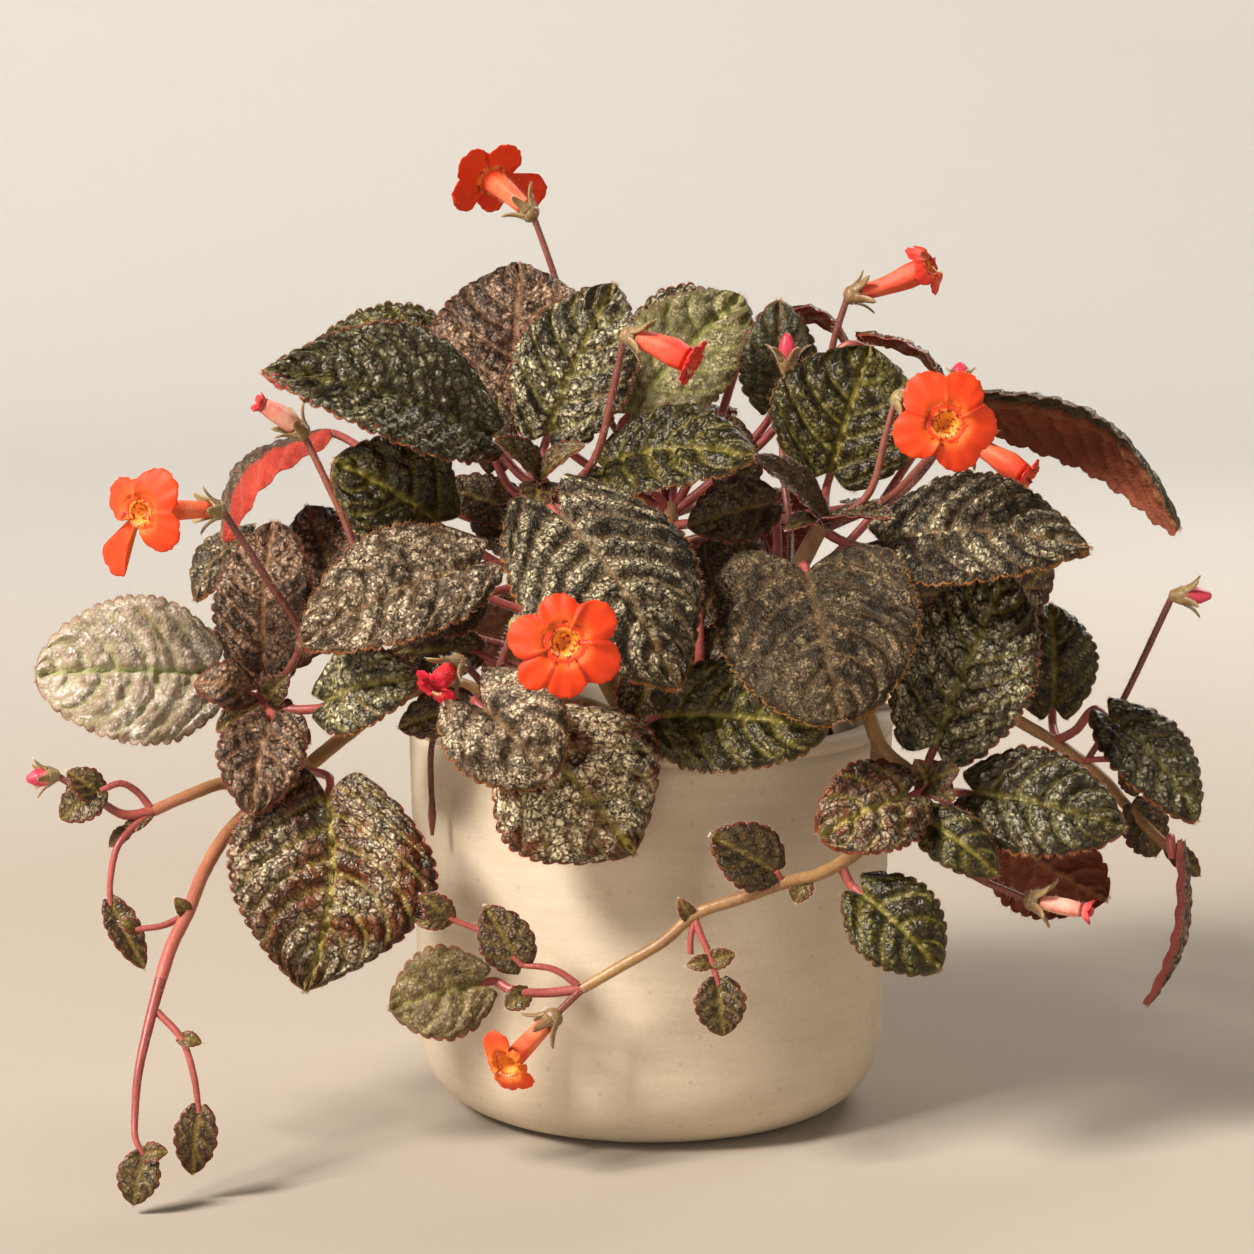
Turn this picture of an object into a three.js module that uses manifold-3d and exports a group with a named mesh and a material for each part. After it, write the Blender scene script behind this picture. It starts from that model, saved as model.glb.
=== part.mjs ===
// Potted flame violet: a mounded plant of quilted bronze leaves with scarlet trumpet
// flowers and three trailing runners, growing in soil in a plain tapered stoneware pot.
// Millimetres, +Z up, -Y towards the viewer. The origin is the middle of the pot's base.
import * as THREE from "three";
import { mergeVertices } from "three/addons/utils/BufferGeometryUtils.js";
import Module from "manifold-3d";

const wasm = await Module();
wasm.setup();

// Driving dimensions of the pot and its soil
const potHeight = 98;
const rimRadius = 60;
const footRadius = 57.3;
const footRound = 18;
const rimBand = 3;
const rimGroove = 0.5;
const potWall = 5.5;
const potFloor = 7;
const rimInset = 0.6;
const rimSoftness = 1.4;
const footRoundSteps = 4;
const seatClearance = 0.15;
const potSides = 30;
const soilLevel = 86;
const soilCrown = 4;
const soilSides = 20;
const soilRings = 4;
const gap = 0.3;
const holeDepth = 26;
const stemHoleGap = 0.8;

// Driving dimensions of the plant's parts
const bladeThickness = 0.9;
const lobeThickness = 0.8;
const quiltHeight = 0.45;
const toothDepth = 0.05;
const stalkRadius = 1.25;
const stalkEndRadius = 1;
const pedicelRadius = 0.85;
const basalLobeFall = 5;
const basalLobeBend = 0.68;
const stalkNeck = 5;
const stalkSag = 0.06;
const stemSides = 5;
const thinStemRadius = 1.5;
const stalkSides = 4;
const flowerSides = 25;
const budSides = 10;
const calyxLength = 3.4;
const calyxRadius = 2.3;
const sepalLength = 6;
const sepalRadius = 0.75;
const sepalFlare = 0.75;
const sepalCount = 5;
const tubeBendShare = 0.45;
const throatDepth = 5;
const throatShare = 0.78;
const rootstockRadius = 8;

// A place is read off the front view: right of the pot's axis and up from the table in the
// plane of that axis, and how near to the viewer the point then stands. The eye is at this
// distance and height, so what stands nearer is drawn in towards it.
const eyeDistance = 900;
const eyeHeight = 257;

function spot([right, up, near]) {
  const shrink = (eyeDistance - near) / eyeDistance;
  return new THREE.Vector3(right * shrink, -near, eyeHeight + (up - eyeHeight) * shrink);
}

// A direction as right, up and towards the viewer
function heading([right, up, near]) {
  return new THREE.Vector3(right, -near, up).normalize();
}

// A closed geometry as a solid with its faces pointing out
function toSolid(geometry) {
  const bare = geometry.clone();
  for (const name of ["normal", "uv"]) bare.deleteAttribute(name);
  const merged = mergeVertices(bare, 1e-4);
  const corners = Array.from(merged.index.array);
  const kept = [];
  for (let i = 0; i < corners.length; i += 3) {
    const [a, b, c] = corners.slice(i, i + 3);
    if (a !== b && b !== c && c !== a) kept.push(a, b, c);
  }
  const vertProperties = merged.attributes.position.array;
  const build = (list) =>
    new wasm.Manifold(new wasm.Mesh({ numProp: 3, vertProperties, triVerts: new Uint32Array(list) }));
  const solid = build(kept);
  return solid.volume() < 0 ? build(kept.reverse()) : solid;
}

function joined(solids) {
  return solids.reduce((whole, next) => whole.add(next));
}

function toGeometry(solid) {
  const mesh = solid.getMesh();
  const geometry = new THREE.BufferGeometry();
  const points = new Float32Array(mesh.numVert * 3);
  for (let i = 0; i < mesh.numVert; i++) {
    points.set(mesh.vertProperties.subarray(i * mesh.numProp, i * mesh.numProp + 3), i * 3);
  }
  geometry.setAttribute("position", new THREE.BufferAttribute(points, 3));
  geometry.setIndex(new THREE.BufferAttribute(mesh.triVerts, 1));
  geometry.computeVertexNormals();
  return geometry;
}

// Bends a lathe-turned form along a curve: ring number i of radii stands at the curve's i-th step
function alongCurve(curve, radii, sides) {
  const steps = radii.length - 1;
  const profile = [new THREE.Vector2(0, 0)];
  radii.forEach((radius, i) => profile.push(new THREE.Vector2(radius, i)));
  profile.push(new THREE.Vector2(0, steps));
  const geometry = new THREE.LatheGeometry(profile, sides);
  const frames = curve.computeFrenetFrames(steps, false);
  const position = geometry.attributes.position;
  for (let i = 0; i < position.count; i++) {
    const ring = Math.round(position.getY(i));
    const point = curve.getPointAt(ring / steps);
    point.addScaledVector(frames.normals[ring], position.getX(i));
    point.addScaledVector(frames.binormals[ring], position.getZ(i));
    position.setXYZ(i, point.x, point.y, point.z);
  }
  return toSolid(geometry);
}

// A stem through places, tapering from its first radius to its last
function stem(points, startRadius, endRadius, sides = stemSides) {
  const curve = new THREE.CatmullRomCurve3(points, false, "centripetal");
  const steps = points.length - 1;
  const radii = [];
  for (let i = 0; i <= steps; i++) radii.push(startRadius + ((endRadius - startRadius) * i) / steps);
  return alongCurve(curve, radii, sides);
}

// Half the breadth of a leaf blade at a share of its length, for a breadth of 1
function leafHalf(share) {
  return 0.5 * Math.pow(Math.sin(Math.PI * Math.pow(0.05 + 0.945 * share, 0.78)), 0.66);
}

// One blade as a closed sheet: a grid from base to tip and edge to edge, split into
// triangles alike on both faces, with a wall round its edge
function bladeSolid(blade) {
  const { base, tip, face, wide, arch, fold, curl, notch, sway, rows, strips } = blade;
  const along = tip.clone().sub(base);
  const length = along.length();
  along.normalize();
  const across = new THREE.Vector3().crossVectors(along, face).normalize();
  const up = new THREE.Vector3().crossVectors(across, along).normalize();
  const upper = [];
  const lower = [];
  for (let i = 0; i <= rows; i++) {
    const share = i / rows;
    const breadth = wide * leafHalf(share) * (1 + toothDepth * (i % 2 ? 1 : -1));
    const ribRise = arch * Math.sin(Math.PI * share);
    const ribSway = sway * Math.sin(Math.PI * share);
    for (let j = 0; j <= strips; j++) {
      const side = (2 * j) / strips - 1;
      const out = Math.abs(side);
      const bend = Math.sin(Math.PI * Math.min(1, out * basalLobeBend));
      const lobe = notch * Math.pow(1 - share, basalLobeFall) * bend;
      const quilt = out > 0 && out < 1 ? quiltHeight * (i % 2 ? 1 : -1) : 0;
      const rise = ribRise + breadth * out * Math.sin(fold) + curl * Math.pow(out, 3) + quilt;
      const middle = base
        .clone()
        .addScaledVector(along, share * length - lobe)
        .addScaledVector(across, ribSway + side * breadth * Math.cos(fold))
        .addScaledVector(up, rise);
      const normal = up
        .clone()
        .multiplyScalar(Math.cos(fold))
        .addScaledVector(across, -Math.sign(side) * Math.sin(fold));
      upper.push(middle.clone().addScaledVector(normal, bladeThickness / 2));
      lower.push(middle.clone().addScaledVector(normal, -bladeThickness / 2));
    }
  }
  const points = upper.concat(lower).flatMap((point) => point.toArray());
  const stride = strips + 1;
  const under = upper.length;
  const index = [];
  for (let i = 0; i < rows; i++) {
    for (let j = 0; j < strips; j++) {
      const a = i * stride + j;
      const b = a + 1;
      const c = a + stride;
      const d = c + 1;
      index.push(a, b, d, a, d, c);
      index.push(under + a, under + d, under + b, under + a, under + c, under + d);
    }
  }
  const rim = [];
  for (let j = 0; j < strips; j++) rim.push(j);
  for (let i = 0; i < rows; i++) rim.push(i * stride + strips);
  for (let j = strips; j > 0; j--) rim.push(rows * stride + j);
  for (let i = rows; i > 0; i--) rim.push(i * stride);
  rim.forEach((a, i) => {
    const b = rim[(i + 1) % rim.length];
    index.push(a, under + a, under + b, a, under + b, b);
  });
  const geometry = new THREE.BufferGeometry();
  geometry.setAttribute("position", new THREE.Float32BufferAttribute(points, 3));
  geometry.setIndex(index);
  return toSolid(geometry);
}

const leafDefaults = { arch: 4, fold: 8, curl: -1, notch: 3, sway: 0, rows: 8, strips: 4 };
const twigLeafDefaults = { arch: 1, fold: 10, curl: 0, notch: 1, sway: 0, rows: 3, strips: 2 };

function leafSolid(row, defaults = leafDefaults) {
  const leaf = { ...defaults, ...row };
  return bladeSolid({
    ...leaf,
    base: spot(leaf.base),
    tip: spot(leaf.tip),
    face: heading(leaf.face),
    fold: THREE.MathUtils.degToRad(leaf.fold),
  });
}

// A leaf's stalk: from its stem, rising a little, to just under the base of the blade
function stalkSolid(row) {
  const start = spot(row.from);
  const base = spot(row.base);
  const along = spot(row.tip).sub(base).normalize();
  const face = heading(row.face);
  const up = face.addScaledVector(along, -face.dot(along)).normalize();
  const drop = stalkEndRadius + bladeThickness / 2 + gap;
  const end = base.clone().addScaledVector(up, -drop).addScaledVector(along, 1);
  const neck = end.clone().addScaledVector(along, -stalkNeck).addScaledVector(up, -0.3 * stalkNeck);
  const reach = start.distanceTo(neck);
  const bow = start.clone().lerp(neck, 0.5).add(new THREE.Vector3(0, 0, -stalkSag * reach));
  const through = row.via ? row.via.map(spot) : [bow];
  return stem([start, ...through, neck, end], stalkRadius, stalkEndRadius, stalkSides);
}

// The fixed measures of a flower: where its tube leaves the calyx and how it bends to its face
function flowerLine(row) {
  const seat = spot(row.calyx);
  const throat = spot(row.throat);
  const face = heading(row.face);
  const bend = throat.clone().addScaledVector(face, -tubeBendShare * seat.distanceTo(throat));
  const axis = bend.clone().sub(seat).normalize();
  const start = seat.clone().addScaledVector(axis, calyxLength + gap + seatClearance);
  return { seat, throat, face, bend, axis, start };
}

// The cup and five narrow sepals that hold a flower
function calyxSolid(row) {
  const { seat, axis } = flowerLine(row);
  const turn = new THREE.Quaternion().setFromUnitVectors(new THREE.Vector3(0, 1, 0), axis);
  const cup = new THREE.LatheGeometry(
    [
      new THREE.Vector2(0, -0.4),
      new THREE.Vector2(calyxRadius, 0.6 * calyxLength),
      new THREE.Vector2(calyxRadius, calyxLength),
      new THREE.Vector2(0, calyxLength),
    ],
    sepalCount,
  );
  const parts = [cup];
  for (let k = 0; k < sepalCount; k++) {
    const sepal = new THREE.ConeGeometry(sepalRadius, sepalLength, 3);
    sepal.translate(0, sepalLength / 2, 0);
    sepal.rotateZ(-sepalFlare);
    sepal.translate(calyxRadius - 0.35, calyxLength - 1.5, 0);
    sepal.rotateY((2 * Math.PI * (k + 0.5)) / sepalCount);
    parts.push(sepal);
  }
  return joined(
    parts.map((part) => {
      part.applyQuaternion(turn);
      part.translate(seat.x, seat.y, seat.z);
      return toSolid(part);
    }),
  );
}

// A flower's stalk, from its stem through places to the bottom of the calyx
function pedicelSolid(row) {
  const { seat, axis } = flowerLine(row);
  const places = row.stalk.map(spot);
  places.push(seat.clone().addScaledVector(axis, 0.6));
  return stem(places, pedicelRadius * 1.2, pedicelRadius, stalkSides);
}

// Reach of the corolla's edge at an angle round its face: the outermost of its round lobes
function lobeEdge(angle, lobes, mouth) {
  let edge = mouth * 1.25;
  for (const [degrees, reach, breadth] of lobes) {
    const off = angle - THREE.MathUtils.degToRad(degrees);
    const middle = reach - breadth / 2;
    const inRoot = (breadth / 2) ** 2 - (middle * Math.sin(off)) ** 2;
    if (Math.cos(off) > 0 && inRoot > 0) edge = Math.max(edge, middle * Math.cos(off) + Math.sqrt(inRoot));
  }
  return edge;
}

// Five alike lobes, for the small and withered flowers and the buds
function evenLobes({ turn, reach, lobe }) {
  return [0, 1, 2, 3, 4].map((k) => [turn + 72 * k, reach, lobe]);
}

// The scarlet trumpet: a lathe-turned tube bent along its line, opening in a hollow throat and
// a limb of round lobes. Its rings run up the outside, over the limb's edge and down the throat.
function corollaSolid(row) {
  const { throat, face, bend, start } = flowerLine(row);
  const curve = new THREE.QuadraticBezierCurve3(start, bend, throat);
  const [narrow, belly, mouth] = row.tube;
  const lobes = row.lobes || evenLobes(row);
  const tubeRings = [narrow, narrow * 1.2, belly, mouth];
  const tubeSteps = tubeRings.length - 1;
  const limbRings = [
    { out: 1, rise: -lobeThickness },
    { out: 1, rise: 0 },
    { out: 0.55, rise: 0.2 },
    { out: 0, rise: 0 },
  ];
  const ringCount = tubeRings.length + limbRings.length + 1;
  const profile = [new THREE.Vector2(0, 0)];
  for (let ring = 1; ring <= ringCount; ring++) profile.push(new THREE.Vector2(1, ring));
  profile.push(new THREE.Vector2(0, ringCount + 1));
  const geometry = new THREE.LatheGeometry(profile, row.lobes ? flowerSides : budSides);
  const frames = curve.computeFrenetFrames(tubeSteps, false);
  const sideways = new THREE.Vector3(0.1, 0.2, 1).cross(face).normalize();
  const upright = new THREE.Vector3().crossVectors(face, sideways);
  const endNormal = frames.normals[tubeSteps];
  const endBinormal = frames.binormals[tubeSteps];
  const offset = Math.atan2(sideways.dot(endBinormal), sideways.dot(endNormal));
  const position = geometry.attributes.position;
  for (let i = 0; i < position.count; i++) {
    const ring = Math.round(position.getY(i));
    const angle = Math.atan2(position.getZ(i), position.getX(i));
    const tube = Math.max(0, ring - 1);
    const limb = limbRings[ring - 1 - tubeRings.length];
    let place;
    if (tube < tubeRings.length) {
      const radius = ring === 0 ? 0 : tubeRings[tube];
      place = curve.getPointAt(tube / tubeSteps);
      place.addScaledVector(frames.normals[tube], radius * Math.cos(angle + offset));
      place.addScaledVector(frames.binormals[tube], radius * Math.sin(angle + offset));
      if (tube === tubeSteps) place.addScaledVector(face, -lobeThickness - 0.6);
    } else {
      const inner = mouth * throatShare;
      const edge = lobeEdge(angle, lobes, mouth);
      const out = limb ? inner + (edge - inner) * limb.out : mouth * 0.3;
      const bent = limb ? Math.tan(row.back) * Math.max(0, out - mouth) : 0;
      const radius = ring > ringCount ? 0 : out;
      place = throat.clone().addScaledVector(face, limb ? limb.rise - bent : -throatDepth);
      place.addScaledVector(sideways, radius * Math.cos(angle));
      place.addScaledVector(upright, radius * Math.sin(angle));
    }
    position.setXYZ(i, place.x, place.y, place.z);
  }
  return toSolid(geometry);
}

// The pot: flat base, rounded foot, gently tapered wall, a fine groove under a rounded rim
function potGeometry() {
  const profile = [new THREE.Vector2(0, 0)];
  for (let i = 0; i <= footRoundSteps; i++) {
    const angle = (Math.PI / 2) * (i / footRoundSteps);
    const x = footRadius - footRound + footRound * Math.sin(angle);
    profile.push(new THREE.Vector2(x, footRound - footRound * Math.cos(angle)));
  }
  const inner = rimRadius - potWall;
  const innerFoot = footRadius - potWall;
  profile.push(
    new THREE.Vector2(rimRadius - rimInset, potHeight - rimBand - 1),
    new THREE.Vector2(rimRadius - rimInset - rimGroove, potHeight - rimBand - 0.4),
    new THREE.Vector2(rimRadius, potHeight - rimBand + 0.3),
    new THREE.Vector2(rimRadius, potHeight - rimSoftness),
    new THREE.Vector2(rimRadius - rimSoftness, potHeight),
    new THREE.Vector2(inner + rimSoftness, potHeight),
    new THREE.Vector2(inner, potHeight - rimSoftness),
    new THREE.Vector2(innerFoot, footRound + 4),
    new THREE.Vector2(innerFoot - footRound * 0.4, potFloor + 3),
    new THREE.Vector2(innerFoot - footRound, potFloor),
    new THREE.Vector2(0, potFloor),
  );
  return new THREE.LatheGeometry(profile, potSides);
}

// Height of the crumbly soil over its flat level
function soilRise(x, y) {
  const dome = soilCrown * (1 - (x * x + y * y) / (rimRadius * rimRadius));
  return dome + 0.8 * Math.sin(x * 0.31 + 1) * Math.sin(y * 0.37) + 0.5 * Math.sin(x * 0.9 - y * 0.7);
}

// The soil fills the pot and holds a plain hole for each stem that grows out of it
function soilSolid(stemPlaces) {
  const inner = rimRadius - potWall - gap - seatClearance;
  const innerFoot = footRadius - potWall - gap - seatClearance;
  const floor = potFloor + gap;
  const share = (soilLevel - footRound - 4) / (potHeight - rimSoftness - footRound - 4);
  const edge = innerFoot + (inner - innerFoot) * share;
  const profile = [
    new THREE.Vector2(0, floor),
    new THREE.Vector2(innerFoot - footRound - 0.2, floor),
    new THREE.Vector2(innerFoot - footRound * 0.4 - 0.5, floor + 3.4),
    new THREE.Vector2(innerFoot, footRound + 4.2),
  ];
  for (let i = soilRings; i >= 0; i--) profile.push(new THREE.Vector2((edge * i) / soilRings, soilLevel));
  const geometry = new THREE.LatheGeometry(profile, soilSides);
  geometry.rotateX(Math.PI / 2);
  const position = geometry.attributes.position;
  for (let i = 0; i < position.count; i++) {
    if (position.getZ(i) > soilLevel - 1) {
      position.setZ(i, soilLevel + soilRise(position.getX(i), position.getY(i)));
    }
  }
  const holes = stemPlaces.map(({ place, radius }) => {
    const hole = new THREE.CylinderGeometry(radius, radius, holeDepth + 20, 10);
    hole.rotateX(Math.PI / 2);
    hole.translate(place.x, place.y, soilLevel + 10 - holeDepth / 2);
    return toSolid(hole);
  });
  return holes.reduce((soil, hole) => soil.subtract(hole), toSolid(geometry));
}

// Where the shoots carry their leaves and flowers
const joints = {
  leftShoot: [-27, 152, 21],
  leftShootLow: [-20, 127, 18],
  rightShoot: [42, 142, 31],
  rightShootLow: [29, 121, 23],
  backShoot: [5, 146, -28],
  backShootLow: [3, 118, -18],
  frontShoot: [-40, 102, 65],
  leftRosette: [-95, 99, 34],
  rightRosette: [68, 79, 55],
  rightNode: [100, 90, -5],
};

// The leaf blades with a solid of their own. base is where the stalk meets the blade, face is
// the way the upper face looks, fold is the rise of the halves from the rib in degrees, and
// grower is the stem system that carries the leaf.
const leaves = {
  leaf_01: {
    base: [-40, 165, 22], tip: [-94, 181, 42], wide: 39, face: [0, 0.8, 0.9], fold: 22, arch: 5,
    grower: "crown", from: joints.leftShoot,
  },
  leaf_02: {
    base: [-46, 182.5, -28], tip: [-86, 181.5, -32], wide: 31, face: [0, 0.5, 1], strips: 2,
    grower: "crown", from: joints.backShoot,
  },
  leaf_03: {
    base: [-33, 173, -3], tip: [-32, 207, -28], wide: 42, face: [0, 0.6, 1], curl: -2,
    grower: "crown", from: joints.leftShoot,
  },
  leaf_04: {
    base: [-25, 166, 20], tip: [-9, 202, 8], wide: 30, face: [-0.1, 0.3, 1], fold: 10,
    grower: "crown", from: joints.leftShoot,
  },
  leaf_05: {
    base: [-5, 171, -20], tip: [22, 199, -34], wide: 30, face: [-0.1, 0.4, 1], strips: 2,
    grower: "crown", from: joints.backShoot,
  },
  leaf_06: {
    base: [-3, 186, -42], tip: [27, 190, -48], wide: 30, face: [0, 0.6, 1], strips: 2,
    grower: "crown", from: joints.backShoot,
  },
  leaf_07: {
    base: [-12, 158, 24], tip: [25, 160.5, 46], wide: 29, face: [0, 0.8, 0.8],
    grower: "crown", from: joints.leftShoot,
  },
  leaf_08: {
    base: [-22, 146, 53], tip: [7, 103, 76], wide: 43, face: [0.15, 0.75, 1], notch: 9, fold: -6, arch: 6,
    grower: "crown", from: joints.leftShootLow,
  },
  leaf_09: {
    base: [-42, 134, 48], tip: [-86, 114, 62], wide: 32, face: [-0.1, 0.7, 0.9], fold: 14,
    grower: "crown", from: joints.leftShootLow,
  },
  leaf_10: {
    base: [-95, 108, 30], tip: [-92, 144, 20], wide: 25, face: [-0.2, 0.3, 1],
    grower: "runner_left", from: joints.leftRosette,
  },
  leaf_11: {
    base: [-76, 127, 6], tip: [-84, 148, -4], wide: 21, face: [0, 0.3, 1], strips: 2,
    grower: "crown", from: [-11, 106, 11],
  },
  leaf_12: {
    base: [-98, 140, -4], tip: [-112, 125, 2], wide: 15, face: [-0.3, 0.6, 0.6], strips: 2,
    grower: "runner_left", from: joints.leftRosette, via: [[-98, 118, 8]],
  },
  leaf_13: {
    base: [-109, 106.5, 34], tip: [-151, 106.5, 46], wide: 36, face: [-0.2, 0.35, 1],
    grower: "runner_left", from: joints.leftRosette,
  },
  leaf_14: {
    base: [-52, 144, 24], tip: [-77, 159, 32], wide: 31, face: [-0.1, 0.5, 1], strips: 2,
    grower: "crown", from: [-21, 128, 18],
  },
  leaf_15: {
    base: [-83, 165, 4], tip: [-105, 140, 14], wide: 26, face: [-1, 0.6, 0.3],
    fold: -24, arch: 9, strips: 2,
    grower: "crown", from: [-24, 138, 18],
  },
  leaf_16: {
    base: [-100, 102, 41], tip: [-112, 104, 45], wide: 12, face: [0, 0.5, 1], strips: 2,
    grower: "runner_left", from: joints.leftRosette,
  },
  leaf_17: {
    base: [-94, 94, 47], tip: [-98.5, 71.5, 61], wide: 21, face: [0, 0.3, 1], strips: 2,
    grower: "runner_left", from: joints.leftRosette,
  },
  leaf_19: {
    base: [-80, 76, 52], tip: [-86, 26.5, 63], wide: 49, face: [0, 0.35, 1], notch: 6, sway: -4,
    grower: "runner_left", from: joints.leftRosette, via: [[-88, 84, 38]],
  },
  leaf_20: {
    base: [-80, 99.5, 45], tip: [-57, 105.5, 58], wide: 22, face: [0, 0.5, 1], strips: 2,
    grower: "runner_left", from: joints.leftRosette,
  },
  leaf_21: {
    base: [-41, 98, 76], tip: [-25, 80, 86], wide: 29, face: [0, 0.5, 1], notch: 7, strips: 2,
    grower: "crown", from: joints.frontShoot,
  },
  leaf_22: {
    base: [-26, 88, 66], tip: [-4, 61.5, 72], wide: 42, face: [0.1, 0.3, 1], notch: 7, fold: -4,
    grower: "crown", from: [-30, 100, 50],
  },
  leaf_23: {
    base: [3, 96, 57], tip: [43, 93, 70], wide: 28, face: [0.1, 0.5, 1],
    grower: "crown", from: [12, 102, 9],
  },
  leaf_24: {
    base: [38, 132, 48], tip: [47, 95, 76], wide: 46, face: [-0.1, 0.6, 1], notch: 14, fold: -6, arch: 5,
    grower: "crown", from: joints.rightShootLow,
  },
  leaf_25: {
    base: [70, 89, 50], tip: [87, 131, 30], wide: 33, face: [-0.1, 0.35, 1],
    grower: "front_runner", from: joints.rightRosette,
  },
  leaf_26: {
    base: [99, 99, -10], tip: [98, 124, -20], wide: 22, face: [0, 0.3, 1], strips: 2,
    grower: "right_runner", from: joints.rightNode,
  },
  leaf_27: {
    base: [56, 140, 30], tip: [107, 138, 46], wide: 38, face: [0, 0.85, 0.7],
    grower: "crown", from: joints.rightShoot,
  },
  leaf_28: {
    base: [44, 157, 12], tip: [53, 187, 0], wide: 38, face: [0, 0.45, 1],
    grower: "crown", from: joints.rightShoot,
  },
  leaf_29: {
    base: [79, 173, 4], tip: [129, 143, 20], wide: 30, face: [0.5, 1, -0.65], fold: -12, arch: 11,
    grower: "crown", from: joints.rightShootLow,
  },
  leaf_30: {
    base: [30, 193, -26], tip: [48, 188, -24], wide: 18, face: [0, 1, -0.3], strips: 2,
    grower: "crown", from: joints.backShoot,
  },
  leaf_31: {
    base: [53, 188, -18], tip: [73, 175, -13], wide: 19, face: [0.3, 1, -0.2], strips: 2,
    grower: "crown", from: joints.backShoot,
  },
  leaf_32: {
    base: [80, 77, 50], tip: [117, 68, 62], wide: 27, face: [0, 0.5, 1],
    grower: "front_runner", from: joints.rightRosette,
  },
  leaf_33: {
    base: [63, 76, 63], tip: [42, 66, 75], wide: 23, face: [-0.1, 0.4, 1], notch: 4, strips: 2,
    grower: "front_runner", from: joints.rightRosette,
  },
  leaf_34: {
    base: [53, 51, 70], tip: [72, 32, 76], wide: 22, face: [0, 0.4, 1], strips: 2,
    grower: "front_runner", from: [47, 59, 66],
  },
  leaf_35: {
    base: [68, 70, 60], tip: [86, 56, 66], wide: 14, face: [0, 0.4, 1], strips: 2,
    grower: "front_runner", from: joints.rightRosette,
  },
  leaf_36: {
    base: [87, 66, 32], tip: [113, 50, 38], wide: 27, face: [0, -0.4, -1], strips: 2,
    grower: "front_runner", from: joints.rightRosette,
  },
  leaf_37: {
    base: [113, 96, 15], tip: [135, 70, 26], wide: 21, face: [0.2, 0.5, 0.8], strips: 2,
    grower: "right_runner", from: joints.rightNode,
  },
  leaf_38: {
    base: [131, 61, 20], tip: [124, 23, 28], wide: 15, face: [0.95, 0.2, 0.3], strips: 2,
    grower: "right_runner", from: [128, 63, 13],
  },
  leaf_39: {
    base: [30, 174, -19], tip: [31, 198, -17], wide: 20, face: [0.1, 0, 1], strips: 2,
    grower: "crown", from: joints.backShoot,
  },
  leaf_40: {
    base: [-43, 28, 70], tip: [-65, 22, 72], wide: 22, face: [0, 0.3, 1], strips: 2,
    grower: "front_runner", from: [-32, 26, 70],
  },
  leaf_41: {
    base: [-18, 128, -42], tip: [-36, 104, -88], wide: 38, face: [-0.2, 0.8, -0.6], strips: 2,
    grower: "crown", from: joints.backShootLow,
  },
  leaf_42: {
    base: [24, 128, -42], tip: [42, 100, -90], wide: 40, face: [0.2, 0.8, -0.6], strips: 2,
    grower: "crown", from: joints.backShootLow,
  },
  leaf_43: {
    base: [-48, 128, -22], tip: [-90, 108, -52], wide: 34, face: [-0.4, 0.9, -0.4], strips: 2,
    grower: "crown", from: joints.backShootLow,
  },
  leaf_44: {
    base: [56, 122, -24], tip: [96, 98, -56], wide: 34, face: [0.4, 0.9, -0.4], strips: 2,
    grower: "crown", from: joints.backShootLow,
  },
};

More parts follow.
